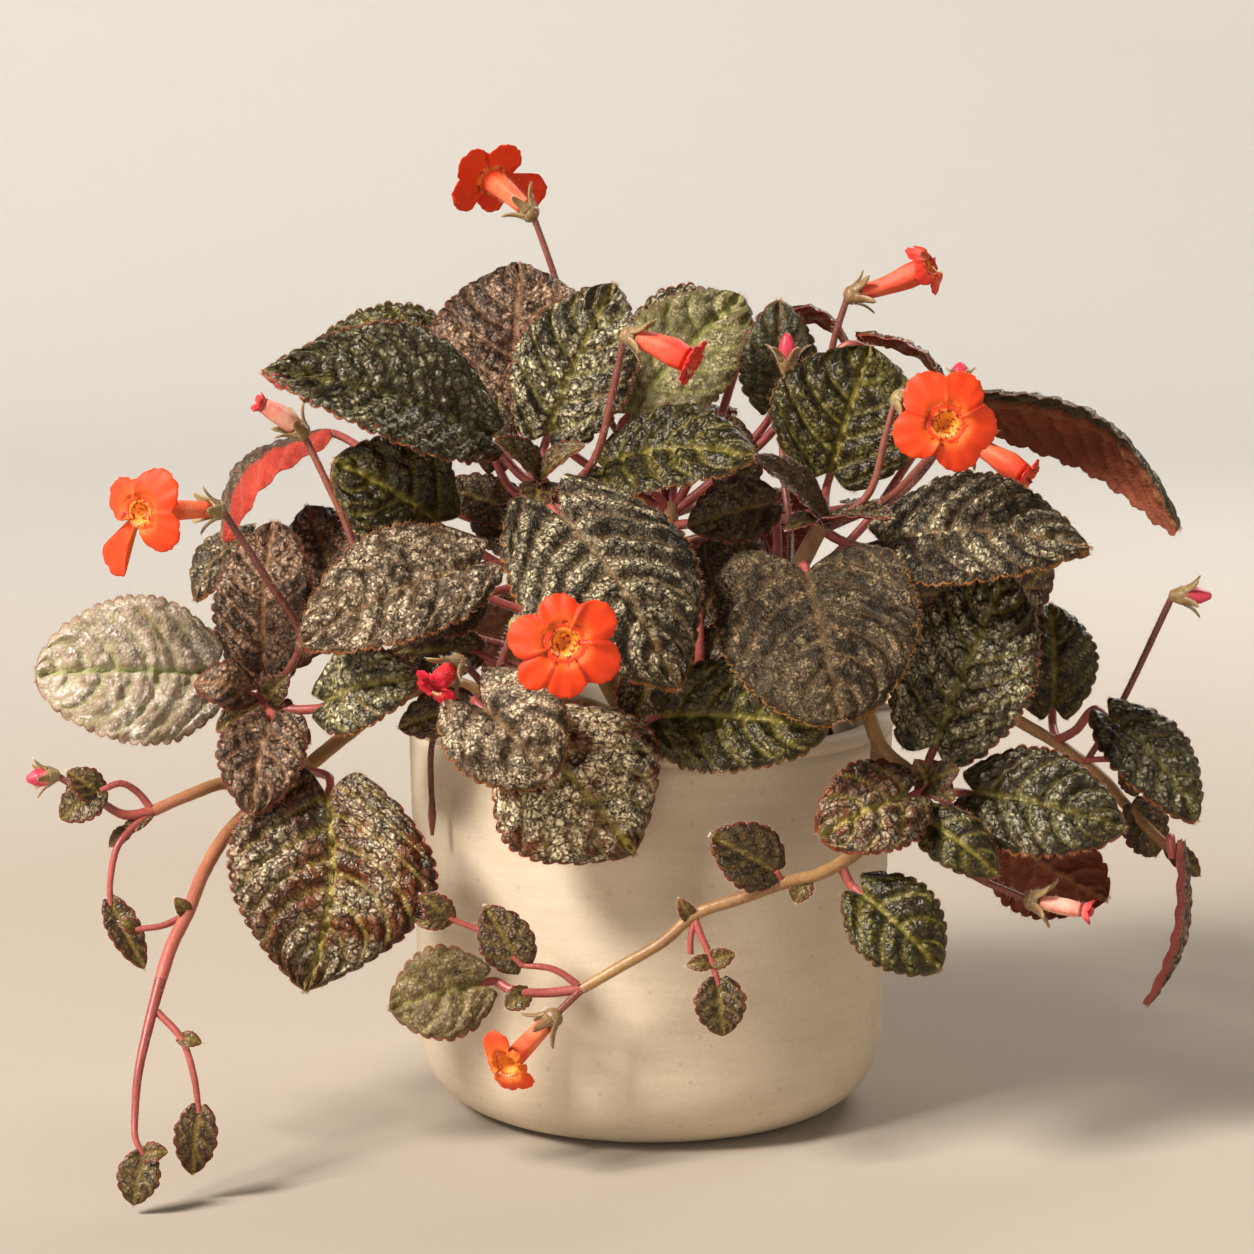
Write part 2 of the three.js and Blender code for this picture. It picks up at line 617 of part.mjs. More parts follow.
// The flowers and the long buds. tube holds the radii at its narrow end, belly and mouth,
// reach and lobe are a lobe's length and breadth, and back is how far the lobes bend back.
const flowers = {
  flower_1: {
    calyx: [-104, 147, 45], throat: [-125.5, 146, 60], face: [-0.55, 0, 0.85], tube: [1.9, 2.4, 3],
    lobes: [[149, 11, 10], [45, 12.4, 11.5], [-33, 11.5, 11], [-130, 18.5, 9.5], [100, 8, 6]], back: 0.15,
    grower: "runner_left", stalk: [joints.leftRosette, [-86, 115, 40], [-94, 130, 43]],
  },
  flower_2: {
    calyx: [-28, 218, -38], throat: [-38.5, 227, -48], face: [-0.5, 0.3, -0.8], tube: [2, 2.8, 3.2],
    lobes: [[20, 12.5, 10], [100, 10.5, 10], [182, 15.5, 10], [-34, 12.5, 9], [-105, 8, 8]], back: 0.1,
    grower: "crown", stalk: [joints.backShoot, [-16, 180, -36], [-24, 206, -38]],
  },
  flower_3: {
    calyx: [-7, 190, 40], throat: [10, 183, 45], face: [0.85, -0.45, 0.3], tube: [2.2, 3.4, 2.8],
    reach: 6, lobe: 5, back: -0.3, turn: 10,
    grower: "crown", stalk: [[-25, 149, 20], [-14, 159, 33], [-9, 177, 38]],
  },
  flower_4: {
    calyx: [47, 199, -12], throat: [68, 207, -10], face: [0.8, 0.5, 0.35], tube: [1.9, 3.1, 2.8],
    reach: 7, lobe: 6, back: 0.5, turn: 0,
    grower: "crown", stalk: [[4, 138, -26], [26, 146, -22], [42, 166, -16], [44, 187, -13]],
  },
  flower_5: {
    calyx: [59, 175, 36], throat: [72, 168, 52], face: [0.1, 0.05, 1], tube: [1.9, 2.6, 3.2],
    lobes: [[129, 13.3, 12], [70, 12.9, 11], [0, 12.1, 11.5], [-56, 11.7, 11], [-157, 12.5, 12]], back: 0.12,
    grower: "crown", stalk: [joints.rightShoot, [53, 151, 36], [57, 165, 37]],
  },
  flower_6: {
    calyx: [76, 165, 14], throat: [92, 155, 22], face: [0.8, -0.5, 0.4], tube: [2, 3.2, 2.4],
    reach: 5, lobe: 4, back: -0.2, turn: 30,
    grower: "crown", stalk: [joints.rightShoot, [58, 150, 22], [70, 162, 14]],
  },
  flower_7: {
    calyx: [-34, 119, 74], throat: [-21, 114, 90], face: [0.05, 0.1, 1], tube: [1.9, 2.6, 3.2],
    lobes: [
      [107, 11.2, 10], [41, 13, 10], [-22, 13.4, 10.5], [-83, 12.3, 10], [-129, 13.3, 7.5],
      [177, 12.8, 10.5],
    ],
    back: 0.12,
    grower: "crown", stalk: [joints.frontShoot, [-37, 108, 70]],
  },
  flower_8: {
    calyx: [-46, 110, 68], throat: [-53, 103, 74], face: [-0.5, -0.6, 0.6], tube: [1.9, 2.5, 2.2],
    reach: 5.5, lobe: 4.5, back: -0.2, turn: 40,
    grower: "crown", stalk: [joints.frontShoot, [-43, 106, 67]],
  },
  flower_9: {
    calyx: [-23, 21, 73], throat: [-36, 7, 80], face: [-0.4, -0.3, 0.85], tube: [1.9, 2.4, 2.8],
    lobes: [
      [120, 8.5, 7], [50, 4.5, 4], [-15, 4.8, 4.5], [-55, 7.5, 6.5], [-105, 7.8, 6.5], [190, 5.5, 5],
    ],
    back: 0.2,
    grower: "front_runner", stalk: [[-17, 27, 70]],
  },
  bud_1: {
    calyx: [-84, 165, 30], throat: [-95, 173, 34], face: [-0.85, 0.5, 0.3], tube: [2, 2.4, 1.6],
    reach: 2.6, lobe: 2.4, back: -0.9, turn: 0,
    grower: "crown", stalk: [[-12, 108, 11], [-55, 120, 28], [-70, 133, 34], [-75, 145, 32]],
  },
  bud_2: {
    calyx: [93, 50, 56], throat: [108, 47, 61], face: [0.95, -0.15, 0.3], tube: [1.6, 2, 1.5],
    reach: 3, lobe: 2.6, back: -0.8, turn: 0,
    grower: "front_runner", stalk: [joints.rightRosette, [70, 64, 52], [80, 56, 54]],
  },
};

// Short closed buds on their own stalks, one body with the stem that bears them
const closedBuds = [
  {
    seat: [127, 126, 10], tip: [137, 126, 12], grower: "right_runner",
    stalk: [[107, 84, -1], [115, 98, 6]],
  },
  {
    seat: [-146, 81, 58], tip: [-154, 80, 60], grower: "runner_left",
    stalk: [[-137, 75, 57]],
  },
  {
    seat: [33, 180, -5], tip: [33, 190, -5], grower: "crown",
    stalk: [[34, 129, 26], [34, 142, 8], [32, 160, -4]],
  },
  {
    seat: [75, 178, 2], tip: [75, 183, 2], grower: "crown",
    stalk: [joints.rightShoot, [62, 152, 14], [72, 166, 6]],
  },
];

// The stems of each system: hand-placed routes with their radii at the two ends
const stems = {
  crown: [
    { route: [[0, 62, 0], [0, 96, 0]], radii: [rootstockRadius, rootstockRadius * 0.7] },
    { route: [[-2, 90, 2], [-10, 104, 10], [-20, 127, 18], [-27, 154, 22]], radii: [2.8, 2.2] },
    { route: [[2, 90, 2], [12, 102, 9], [29, 121, 23], [42, 144, 32]], radii: [2.8, 2.2] },
    { route: [[0, 90, -2], [2, 106, -13], [4, 130, -24], [5, 149, -28]], radii: [2.6, 2] },
    { route: [[-2, 92, 3], [-16, 99, 26], [-31, 100, 52], [-41, 103, 66]], radii: [1.9, 1.5] },
    { route: [[5, 146, -28], [0, 149, -38], [-8, 151, -47]], radii: [1.3, 1] },
    { route: [[5, 146, -28], [14, 149, -38], [22, 151, -47]], radii: [1.3, 1] },
    { route: [[4, 136, -26], [-18, 146, -32], [-38, 151, -37]], radii: [1.3, 1] },
    { route: [[4, 136, -26], [28, 144, -30], [50, 148, -36]], radii: [1.3, 1] },
    { route: [[5, 148, -28], [6, 162, -36], [7, 170, -43]], radii: [1.3, 1] },
    { route: [[29, 121, 23], [31, 138, 20], [30, 149, 21]], radii: [1.3, 1] },
    { route: [[-20, 127, 18], [-32, 128, 27], [-42, 126, 35]], radii: [1.3, 1] },
    { route: [[12, 102, 9], [12, 112, 10], [12, 123, 8]], radii: [1.3, 1] },
    { route: [[2, 92, 2], [6, 99, 7], [8, 106, 10]], radii: [1.3, 1] },
    { route: [[29, 121, 23], [40, 120, 18], [54, 124, 12]], radii: [1.3, 1] },
    { route: [[29, 121, 23], [56, 117, 8], [82, 118, -3]], radii: [1.3, 1] },
    { route: [[5, 143, -27], [14, 145, -20], [21, 151, -12]], radii: [1.3, 1] },
    { route: [[-24, 142, 19], [-33, 147, 13]], radii: [1.2, 1] },
    { route: [[-27, 148, 20], [-34, 152, 14], [-38, 159, 10]], radii: [1.2, 1] },
    { route: [[-24, 100, 40], [-34, 108, 38], [-44, 112, 36]], radii: [1.3, 1] },
    { route: [[-31, 100, 52], [-46, 98, 48]], radii: [1.3, 1] },
    { route: [[-2, 92, 3], [-4, 94, 11], [-4, 98, 18]], radii: [1.3, 1] },
    { route: [[-44, 99, 48], [-51, 97, 43], [-54, 88, 38], [-54, 72, 38]], radii: [0.8, 0.7] },
    { route: [[-54, 74, 38], [-54, 70, 38], [-54, 66, 38]], radii: [1.3, 0.6] },
  ],
  runner_left: [
    {
      route: [
        [-32, 68, 5], [-32, 90, 5], [-38, 99, 7], [-50, 104, 10], [-62, 101, 15], [-74, 92, 20],
        [-85, 83, 28], [-98, 73, 38], [-105, 66, 46], [-111, 56, 56], [-115, 46, 66], [-119, 38, 72],
        [-122, 29, 78],
      ],
      radii: [2.3, 1.5],
    },
    {
      route: [
        [-122, 29, 78], [-125, 18, 84], [-128, 5, 90], [-129, -5, 93], [-129, -12, 96], [-127, -16, 97],
      ],
      radii: [1.5, 0.7],
    },
    { route: [[-85, 83, 28], [-91, 91, 32], [-95, 99, 34]], radii: [1.8, 1.6] },
    { route: [[-97, 74, 37], [-104, 79, 42], [-114, 76, 48], [-123, 72, 52]], radii: [1.7, 1.4] },
    { route: [[-123, 72, 52], [-130, 71, 55], [-137, 75, 57]], radii: [1.3, 0.9] },
    { route: [[-123, 72, 52], [-127, 77, 53], [-131, 79, 55], [-136, 77, 57]], radii: [0.9, 0.8] },
    {
      route: [
        [-123, 72, 52], [-128, 68, 55], [-132, 63, 58], [-134, 54, 60], [-134, 48, 61],
      ],
      radii: [1, 0.7],
    },
    { route: [[-115, 46, 66], [-121, 43, 68], [-128, 42, 69]], radii: [0.9, 0.7] },
    { route: [[-123, 21, 82], [-117, 14, 85], [-114, 4, 87], [-113, -5, 88]], radii: [0.9, 0.7] },
  ],
  front_runner: [
    {
      route: [
        [24, 68, 20], [24, 90, 20], [29, 99, 25], [40, 104, 35], [52, 99, 46], [57, 88, 52],
        [68, 79, 55],
      ],
      radii: [2, 1.7],
    },
    {
      route: [
        [56, 90, 51], [55, 74, 57], [52, 63, 63], [47, 59, 66], [41, 56, 68], [33, 54, 69],
        [22, 50, 70], [11, 46, 70], [3, 39, 70], [-7, 33, 70], [-17, 27, 70],
      ],
      radii: [1.7, 1.3],
    },
    { route: [[-17, 27, 70], [-25, 26, 70], [-32, 26, 70]], radii: [1.2, 1.1] },
    { route: [[-18, 28, 70], [-24, 32, 70], [-32, 33, 69]], radii: [0.9, 0.7] },
    { route: [[-32, 33, 69], [-41, 41, 69], [-50, 45, 69]], radii: [0.8, 0.7] },
    { route: [[11, 45, 70], [12, 42, 71], [15, 35, 73], [17, 28, 74]], radii: [0.9, 0.7] },
    { route: [[11, 45, 70], [10, 40, 71], [10, 36, 71]], radii: [0.8, 0.7] },
    { route: [[33, 54, 69], [31, 57, 70]], radii: [0.9, 0.8] },
  ],
  right_runner: [
    {
      route: [
        [32, 68, -2], [32, 90, -2], [38, 101, -2], [56, 107, -4], [76, 103, -6], [92, 94, -6],
        [102, 88, -4], [112, 80, 2], [118, 73, 7], [129, 62, 14],
      ],
      radii: [1.9, 1.3],
    },
    { route: [[106, 85, 0], [114, 85, 2], [117, 82, 3]], radii: [0.8, 0.7] },
  ],
};

// The young leaves at the rosettes, the leaves deep among the stalks and the little leaves along
// the runners, which are one body with the stem that bears them
const twigLeaves = {
  crown: [
    { base: [-27, 154, 22], tip: [-38, 164, 29], wide: 12, face: [0.2, 0.8, 0.6], fold: 26 },
    { base: [-27, 154, 22], tip: [-16, 163, 29], wide: 10, face: [-0.3, 0.8, 0.6], fold: 24 },
    { base: [-27, 153, 22], tip: [-28, 147, 33], wide: 10, face: [0, 1, 0.3], fold: 20 },
    { base: [42, 144, 32], tip: [25, 160, 39], wide: 16, face: [0.5, 0.9, 0.5], fold: 22, rows: 5, arch: 1 },
    { base: [42, 144, 32], tip: [59, 145, 46], wide: 13, face: [0, 1, 0.3], fold: 20, rows: 5 },
    { base: [42, 144, 32], tip: [33, 142, 39], wide: 8, face: [0, 1, 0.4], fold: 20 },
    { base: [-8, 151, -47], tip: [-20, 132, -76], wide: 30, face: [-0.1, 0.9, -0.5], rows: 5, arch: 4 },
    { base: [22, 151, -47], tip: [34, 132, -78], wide: 30, face: [0.1, 0.9, -0.5], rows: 5, arch: 4 },
    { base: [-38, 151, -37], tip: [-64, 139, -58], wide: 26, face: [-0.4, 0.9, -0.4], rows: 5, arch: 4 },
    { base: [50, 148, -36], tip: [76, 134, -58], wide: 26, face: [0.4, 0.9, -0.4], rows: 5, arch: 4 },
    { base: [7, 170, -43], tip: [9, 160, -72], wide: 28, face: [0, 0.9, -0.3], rows: 5, arch: 4 },
    { base: [30, 149, 21], tip: [9, 143, 25], wide: 17, face: [0, 0.5, 1], rows: 5 },
    { base: [-42, 126, 35], tip: [-60, 119, 42], wide: 15, face: [0, 0.2, 1], rows: 5 },
    { base: [12, 121, 8], tip: [25, 142, -4], wide: 20, face: [0, 0.3, 1] },
    { base: [8, 104, 10], tip: [22, 123, 3], wide: 18, face: [0, 0.3, 1] },
    { base: [52, 124, 12], tip: [78, 127, 0], wide: 18, face: [0, 0.5, 1] },
    { base: [80, 117, -3], tip: [98, 134, -12], wide: 16, face: [0, 0.4, 1] },
    { base: [21, 149, -12], tip: [20, 170, -14], wide: 13, face: [0, 0.2, 1] },
    { base: [-31, 146, 13], tip: [-52, 153, 8], wide: 13, face: [0, 0.5, 1] },
    { base: [-38, 157, 10], tip: [-37, 175, 6], wide: 11, face: [0, 0.2, 1] },
    { base: [-25, 138, 20], tip: [-44, 145, 12], wide: 14, face: [0, 0.4, 1] },
    { base: [-42, 112, 36], tip: [-64, 112, 40], wide: 13, face: [0, 0.4, 1] },
    { base: [-44, 99, 48], tip: [-62, 93, 46], wide: 12, face: [0, 0.4, 1] },
    { base: [-4, 96, 18], tip: [4, 113, 22], wide: 14, face: [0, 0.3, 1] },
  ],
  runner_left: [
    { base: [-95, 99, 34], tip: [-89, 106, 38], wide: 8, face: [0, 0.4, 1] },
    { base: [-136, 77, 57], tip: [-146, 70, 60], wide: 10, face: [0, 0.4, 1] },
    { base: [-136, 76, 57], tip: [-144, 82, 58], wide: 8, face: [0, 0.6, 0.8] },
    { base: [-134, 49, 61], tip: [-126, 32, 63], wide: 8, face: [0.2, 0.2, 1] },
    { base: [-128, 42, 69], tip: [-132, 44, 70], wide: 4, face: [0, 0.6, 1] },
    { base: [-115, 46, 66], tip: [-118, 50, 68], wide: 4, face: [0, 0.6, 1] },
    { base: [-117, 14, 85], tip: [-112, 13, 86], wide: 4, face: [0, 0.6, 1] },
    { base: [-113, -4, 88], tip: [-115, -21, 89], wide: 10, face: [0.1, 0.1, 1] },
    { base: [-127, -16, 97], tip: [-130, -29, 99], wide: 10, face: [0, 0.2, 1] },
    { base: [-127, -16, 97], tip: [-121, -15, 98], wide: 5, face: [0, 0.6, 1] },
    { base: [-95, 99, 34], tip: [-107, 92, 40], wide: 9, face: [0, 0.5, 1] },
    { base: [-95, 99, 34], tip: [-84, 89, 42], wide: 9, face: [0, 0.5, 1] },
    { base: [-124, 71, 53], tip: [-131, 66, 55], wide: 4, face: [0, 0.4, 1] },
    { base: [-129, 67.4, 54.4], tip: [-134, 63, 56], wide: 4, face: [0, 0.4, 1] },
  ],
  front_runner: [
    { base: [68, 79, 55], tip: [76, 83, 60], wide: 8, face: [0, 0.5, 1] },
    { base: [68, 79, 55], tip: [75, 75, 62], wide: 7, face: [0, 0.6, 1] },
    { base: [68, 79, 55], tip: [65, 85, 60], wide: 7, face: [0, 0.5, 1] },
    { base: [31, 57, 70], tip: [15, 66, 73], wide: 16, face: [0, 0.4, 1], rows: 7 },
    { base: [17, 29, 74], tip: [18, 15, 75], wide: 12, face: [0, 0.1, 1], rows: 5 },
    { base: [15, 34, 73], tip: [21, 36, 74], wide: 5, face: [0, 0.3, 1] },
    { base: [15, 34, 73], tip: [9, 33, 74], wide: 4, face: [0, 0.3, 1] },
    { base: [10, 45, 70], tip: [7, 50, 72], wide: 4, face: [0, 0.3, 1] },
    { base: [-32, 33, 69], tip: [-41, 48, 68], wide: 13, face: [0, 0.2, 1], rows: 5 },
    { base: [-31, 26, 70], tip: [-36, 22, 72], wide: 6, face: [0, 0.3, 1] },
    { base: [38, 55, 68], tip: [36, 49, 70], wide: 6, face: [0, 0.3, 1] },
    { base: [-50, 45, 69], tip: [-57, 51, 70], wide: 7, face: [0, 0.3, 1] },
    { base: [-50, 45, 69], tip: [-58, 43.5, 71], wide: 5, face: [0, 0.3, 1] },
  ],
  right_runner: [
    { base: [117, 82, 3], tip: [120, 76, 5], wide: 6, face: [0, 0.4, 1] },
    { base: [119, 74, 8], tip: [125, 61, 5], wide: 13, face: [0.2, 0.4, 1] },
    { base: [128, 63, 13], tip: [136, 56, 12], wide: 6, face: [0, 0.5, 1] },
  ],
};

function closedBudSolids({ seat, tip, stalk }) {
  const foot = spot(seat);
  const end = spot(tip);
  const curve = new THREE.LineCurve3(foot, end);
  const body = alongCurve(curve, [1.2, 2.4, 2, 0.8], stalkSides);
  const side = end.clone().sub(foot).normalize();
  const line = [...stalk.map(spot), foot.addScaledVector(side, 0.6)];
  return [body, stem(line, pedicelRadius, pedicelRadius, stalkSides)];
}

// All the stems, stalks, calyces and little leaves of one system, fused into one body
function growerSolid(name) {
  const solids = stems[name].map(({ route, radii }) => {
    const sides = radii[0] > thinStemRadius ? stemSides : stalkSides;
    return stem(route.map(spot), radii[0], radii[1], sides);
  });
  const ofGrower = (row) => row.grower === name;
  solids.push(...Object.values(leaves).filter(ofGrower).map(stalkSolid));
  for (const flower of Object.values(flowers).filter(ofGrower)) {
    solids.push(pedicelSolid(flower), calyxSolid(flower));
  }
  solids.push(...closedBuds.filter(ofGrower).flatMap(closedBudSolids));
  solids.push(...twigLeaves[name].map((row) => leafSolid(row, twigLeafDefaults)));
  return joined(solids);
}

const stoneware = { color: 0xcfc2b0, roughness: 0.85, metalness: 0 };
const darkSoil = { color: 0x1c140e, roughness: 1, metalness: 0 };
const bronzeLeaf = { color: 0x4a4530, roughness: 0.55, metalness: 0 };
const silverLeaf = { color: 0x8f9280, roughness: 0.6, metalness: 0 };
const redStem = { color: 0x9a4a32, roughness: 0.6, metalness: 0 };
const scarlet = { color: 0xe8391c, roughness: 0.5, metalness: 0 };
const paleLeaves = ["leaf_05", "leaf_12", "leaf_13"];

const plant = new THREE.Group();

function addPiece(name, geometry, finish) {
  const mesh = new THREE.Mesh(geometry, new THREE.MeshStandardMaterial(finish));
  mesh.name = name;
  plant.add(mesh);
  return mesh;
}

const pot = addPiece("pot", potGeometry(), stoneware);
pot.rotation.x = Math.PI / 2;

const stemPlaces = [
  { place: spot([0, 80, 0]), radius: rootstockRadius + stemHoleGap },
  { place: spot([-32, 80, 5]), radius: 2.3 + stemHoleGap },
  { place: spot([24, 80, 20]), radius: 2 + stemHoleGap },
  { place: spot([32, 80, -2]), radius: 1.9 + stemHoleGap },
];
addPiece("soil", toGeometry(soilSolid(stemPlaces)), darkSoil);

for (const name of Object.keys(stems)) addPiece(name, toGeometry(growerSolid(name)), redStem);
for (const [name, leaf] of Object.entries(leaves)) {
  addPiece(name, toGeometry(leafSolid(leaf)), paleLeaves.includes(name) ? silverLeaf : bronzeLeaf);
}
for (const [name, flower] of Object.entries(flowers)) {
  addPiece(name, toGeometry(corollaSolid(flower)), scarlet);
}

export default plant;
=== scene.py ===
# Potted flame violet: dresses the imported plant, pot and soil with finer leaves, flowers,
# stems, hairs and finishes. Metres, +Z up; rows of places are in millimetres.
import math

import bpy
import numpy as np
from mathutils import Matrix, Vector


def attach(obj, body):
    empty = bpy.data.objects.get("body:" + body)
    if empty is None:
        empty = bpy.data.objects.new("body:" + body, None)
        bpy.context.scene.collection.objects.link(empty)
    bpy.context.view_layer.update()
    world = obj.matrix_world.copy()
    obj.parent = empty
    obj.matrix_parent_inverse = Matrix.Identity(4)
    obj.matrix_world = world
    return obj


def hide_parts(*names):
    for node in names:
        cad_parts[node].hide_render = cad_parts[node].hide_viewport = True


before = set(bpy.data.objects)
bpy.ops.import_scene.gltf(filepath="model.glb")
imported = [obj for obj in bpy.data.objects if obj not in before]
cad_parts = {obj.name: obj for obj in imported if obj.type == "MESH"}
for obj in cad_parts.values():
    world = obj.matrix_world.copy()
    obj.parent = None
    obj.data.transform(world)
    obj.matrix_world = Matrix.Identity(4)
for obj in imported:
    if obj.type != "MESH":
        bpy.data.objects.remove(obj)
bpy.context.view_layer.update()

random = np.random.default_rng(7)
mm = 0.001
fullTurn = 2 * math.pi

# A place is read off the front view: right of the pot's axis, up from the table, and how near
# to the viewer it stands. The eye is at this distance and height.
eyeDistance = 900
eyeHeight = 257


def spot(place):  # a place, or the joint of that name, in the frame's own directions
    right, up, near = joints.get(place, place)
    shrink = (eyeDistance - near) / eyeDistance
    return np.array([right * shrink, -near, eyeHeight + (up - eyeHeight) * shrink])


def unit(v):
    return v / np.linalg.norm(v)


def units(rows):
    return rows / np.linalg.norm(rows, axis=1)[:, None]


def heading(way):  # a number alone is how far up a way to the viewer leans
    right, up, near = way if isinstance(way, tuple) else (0, way, 1)
    return unit(np.array([right, -near, up], float))


# Where the shoots carry their leaves and flowers
joints = {
    "leftShoot": (-27, 152, 21),
    "leftShootLow": (-20, 127, 18),
    "rightShoot": (42, 142, 31),
    "rightShootLow": (29, 121, 23),
    "backShoot": (5, 146, -28),
    "backShootLow": (3, 118, -18),
    "frontShoot": (-40, 102, 65),
    "leftRosette": (-95, 99, 34),
    "rightRosette": (68, 79, 55),
    "rightNode": (100, 90, -5),
}


def leafRow(base, tip, wide, face, grower=None, start=None, **more):
    return dict(base=base, tip=tip, wide=wide, face=face, grower=grower, start=start, **more)


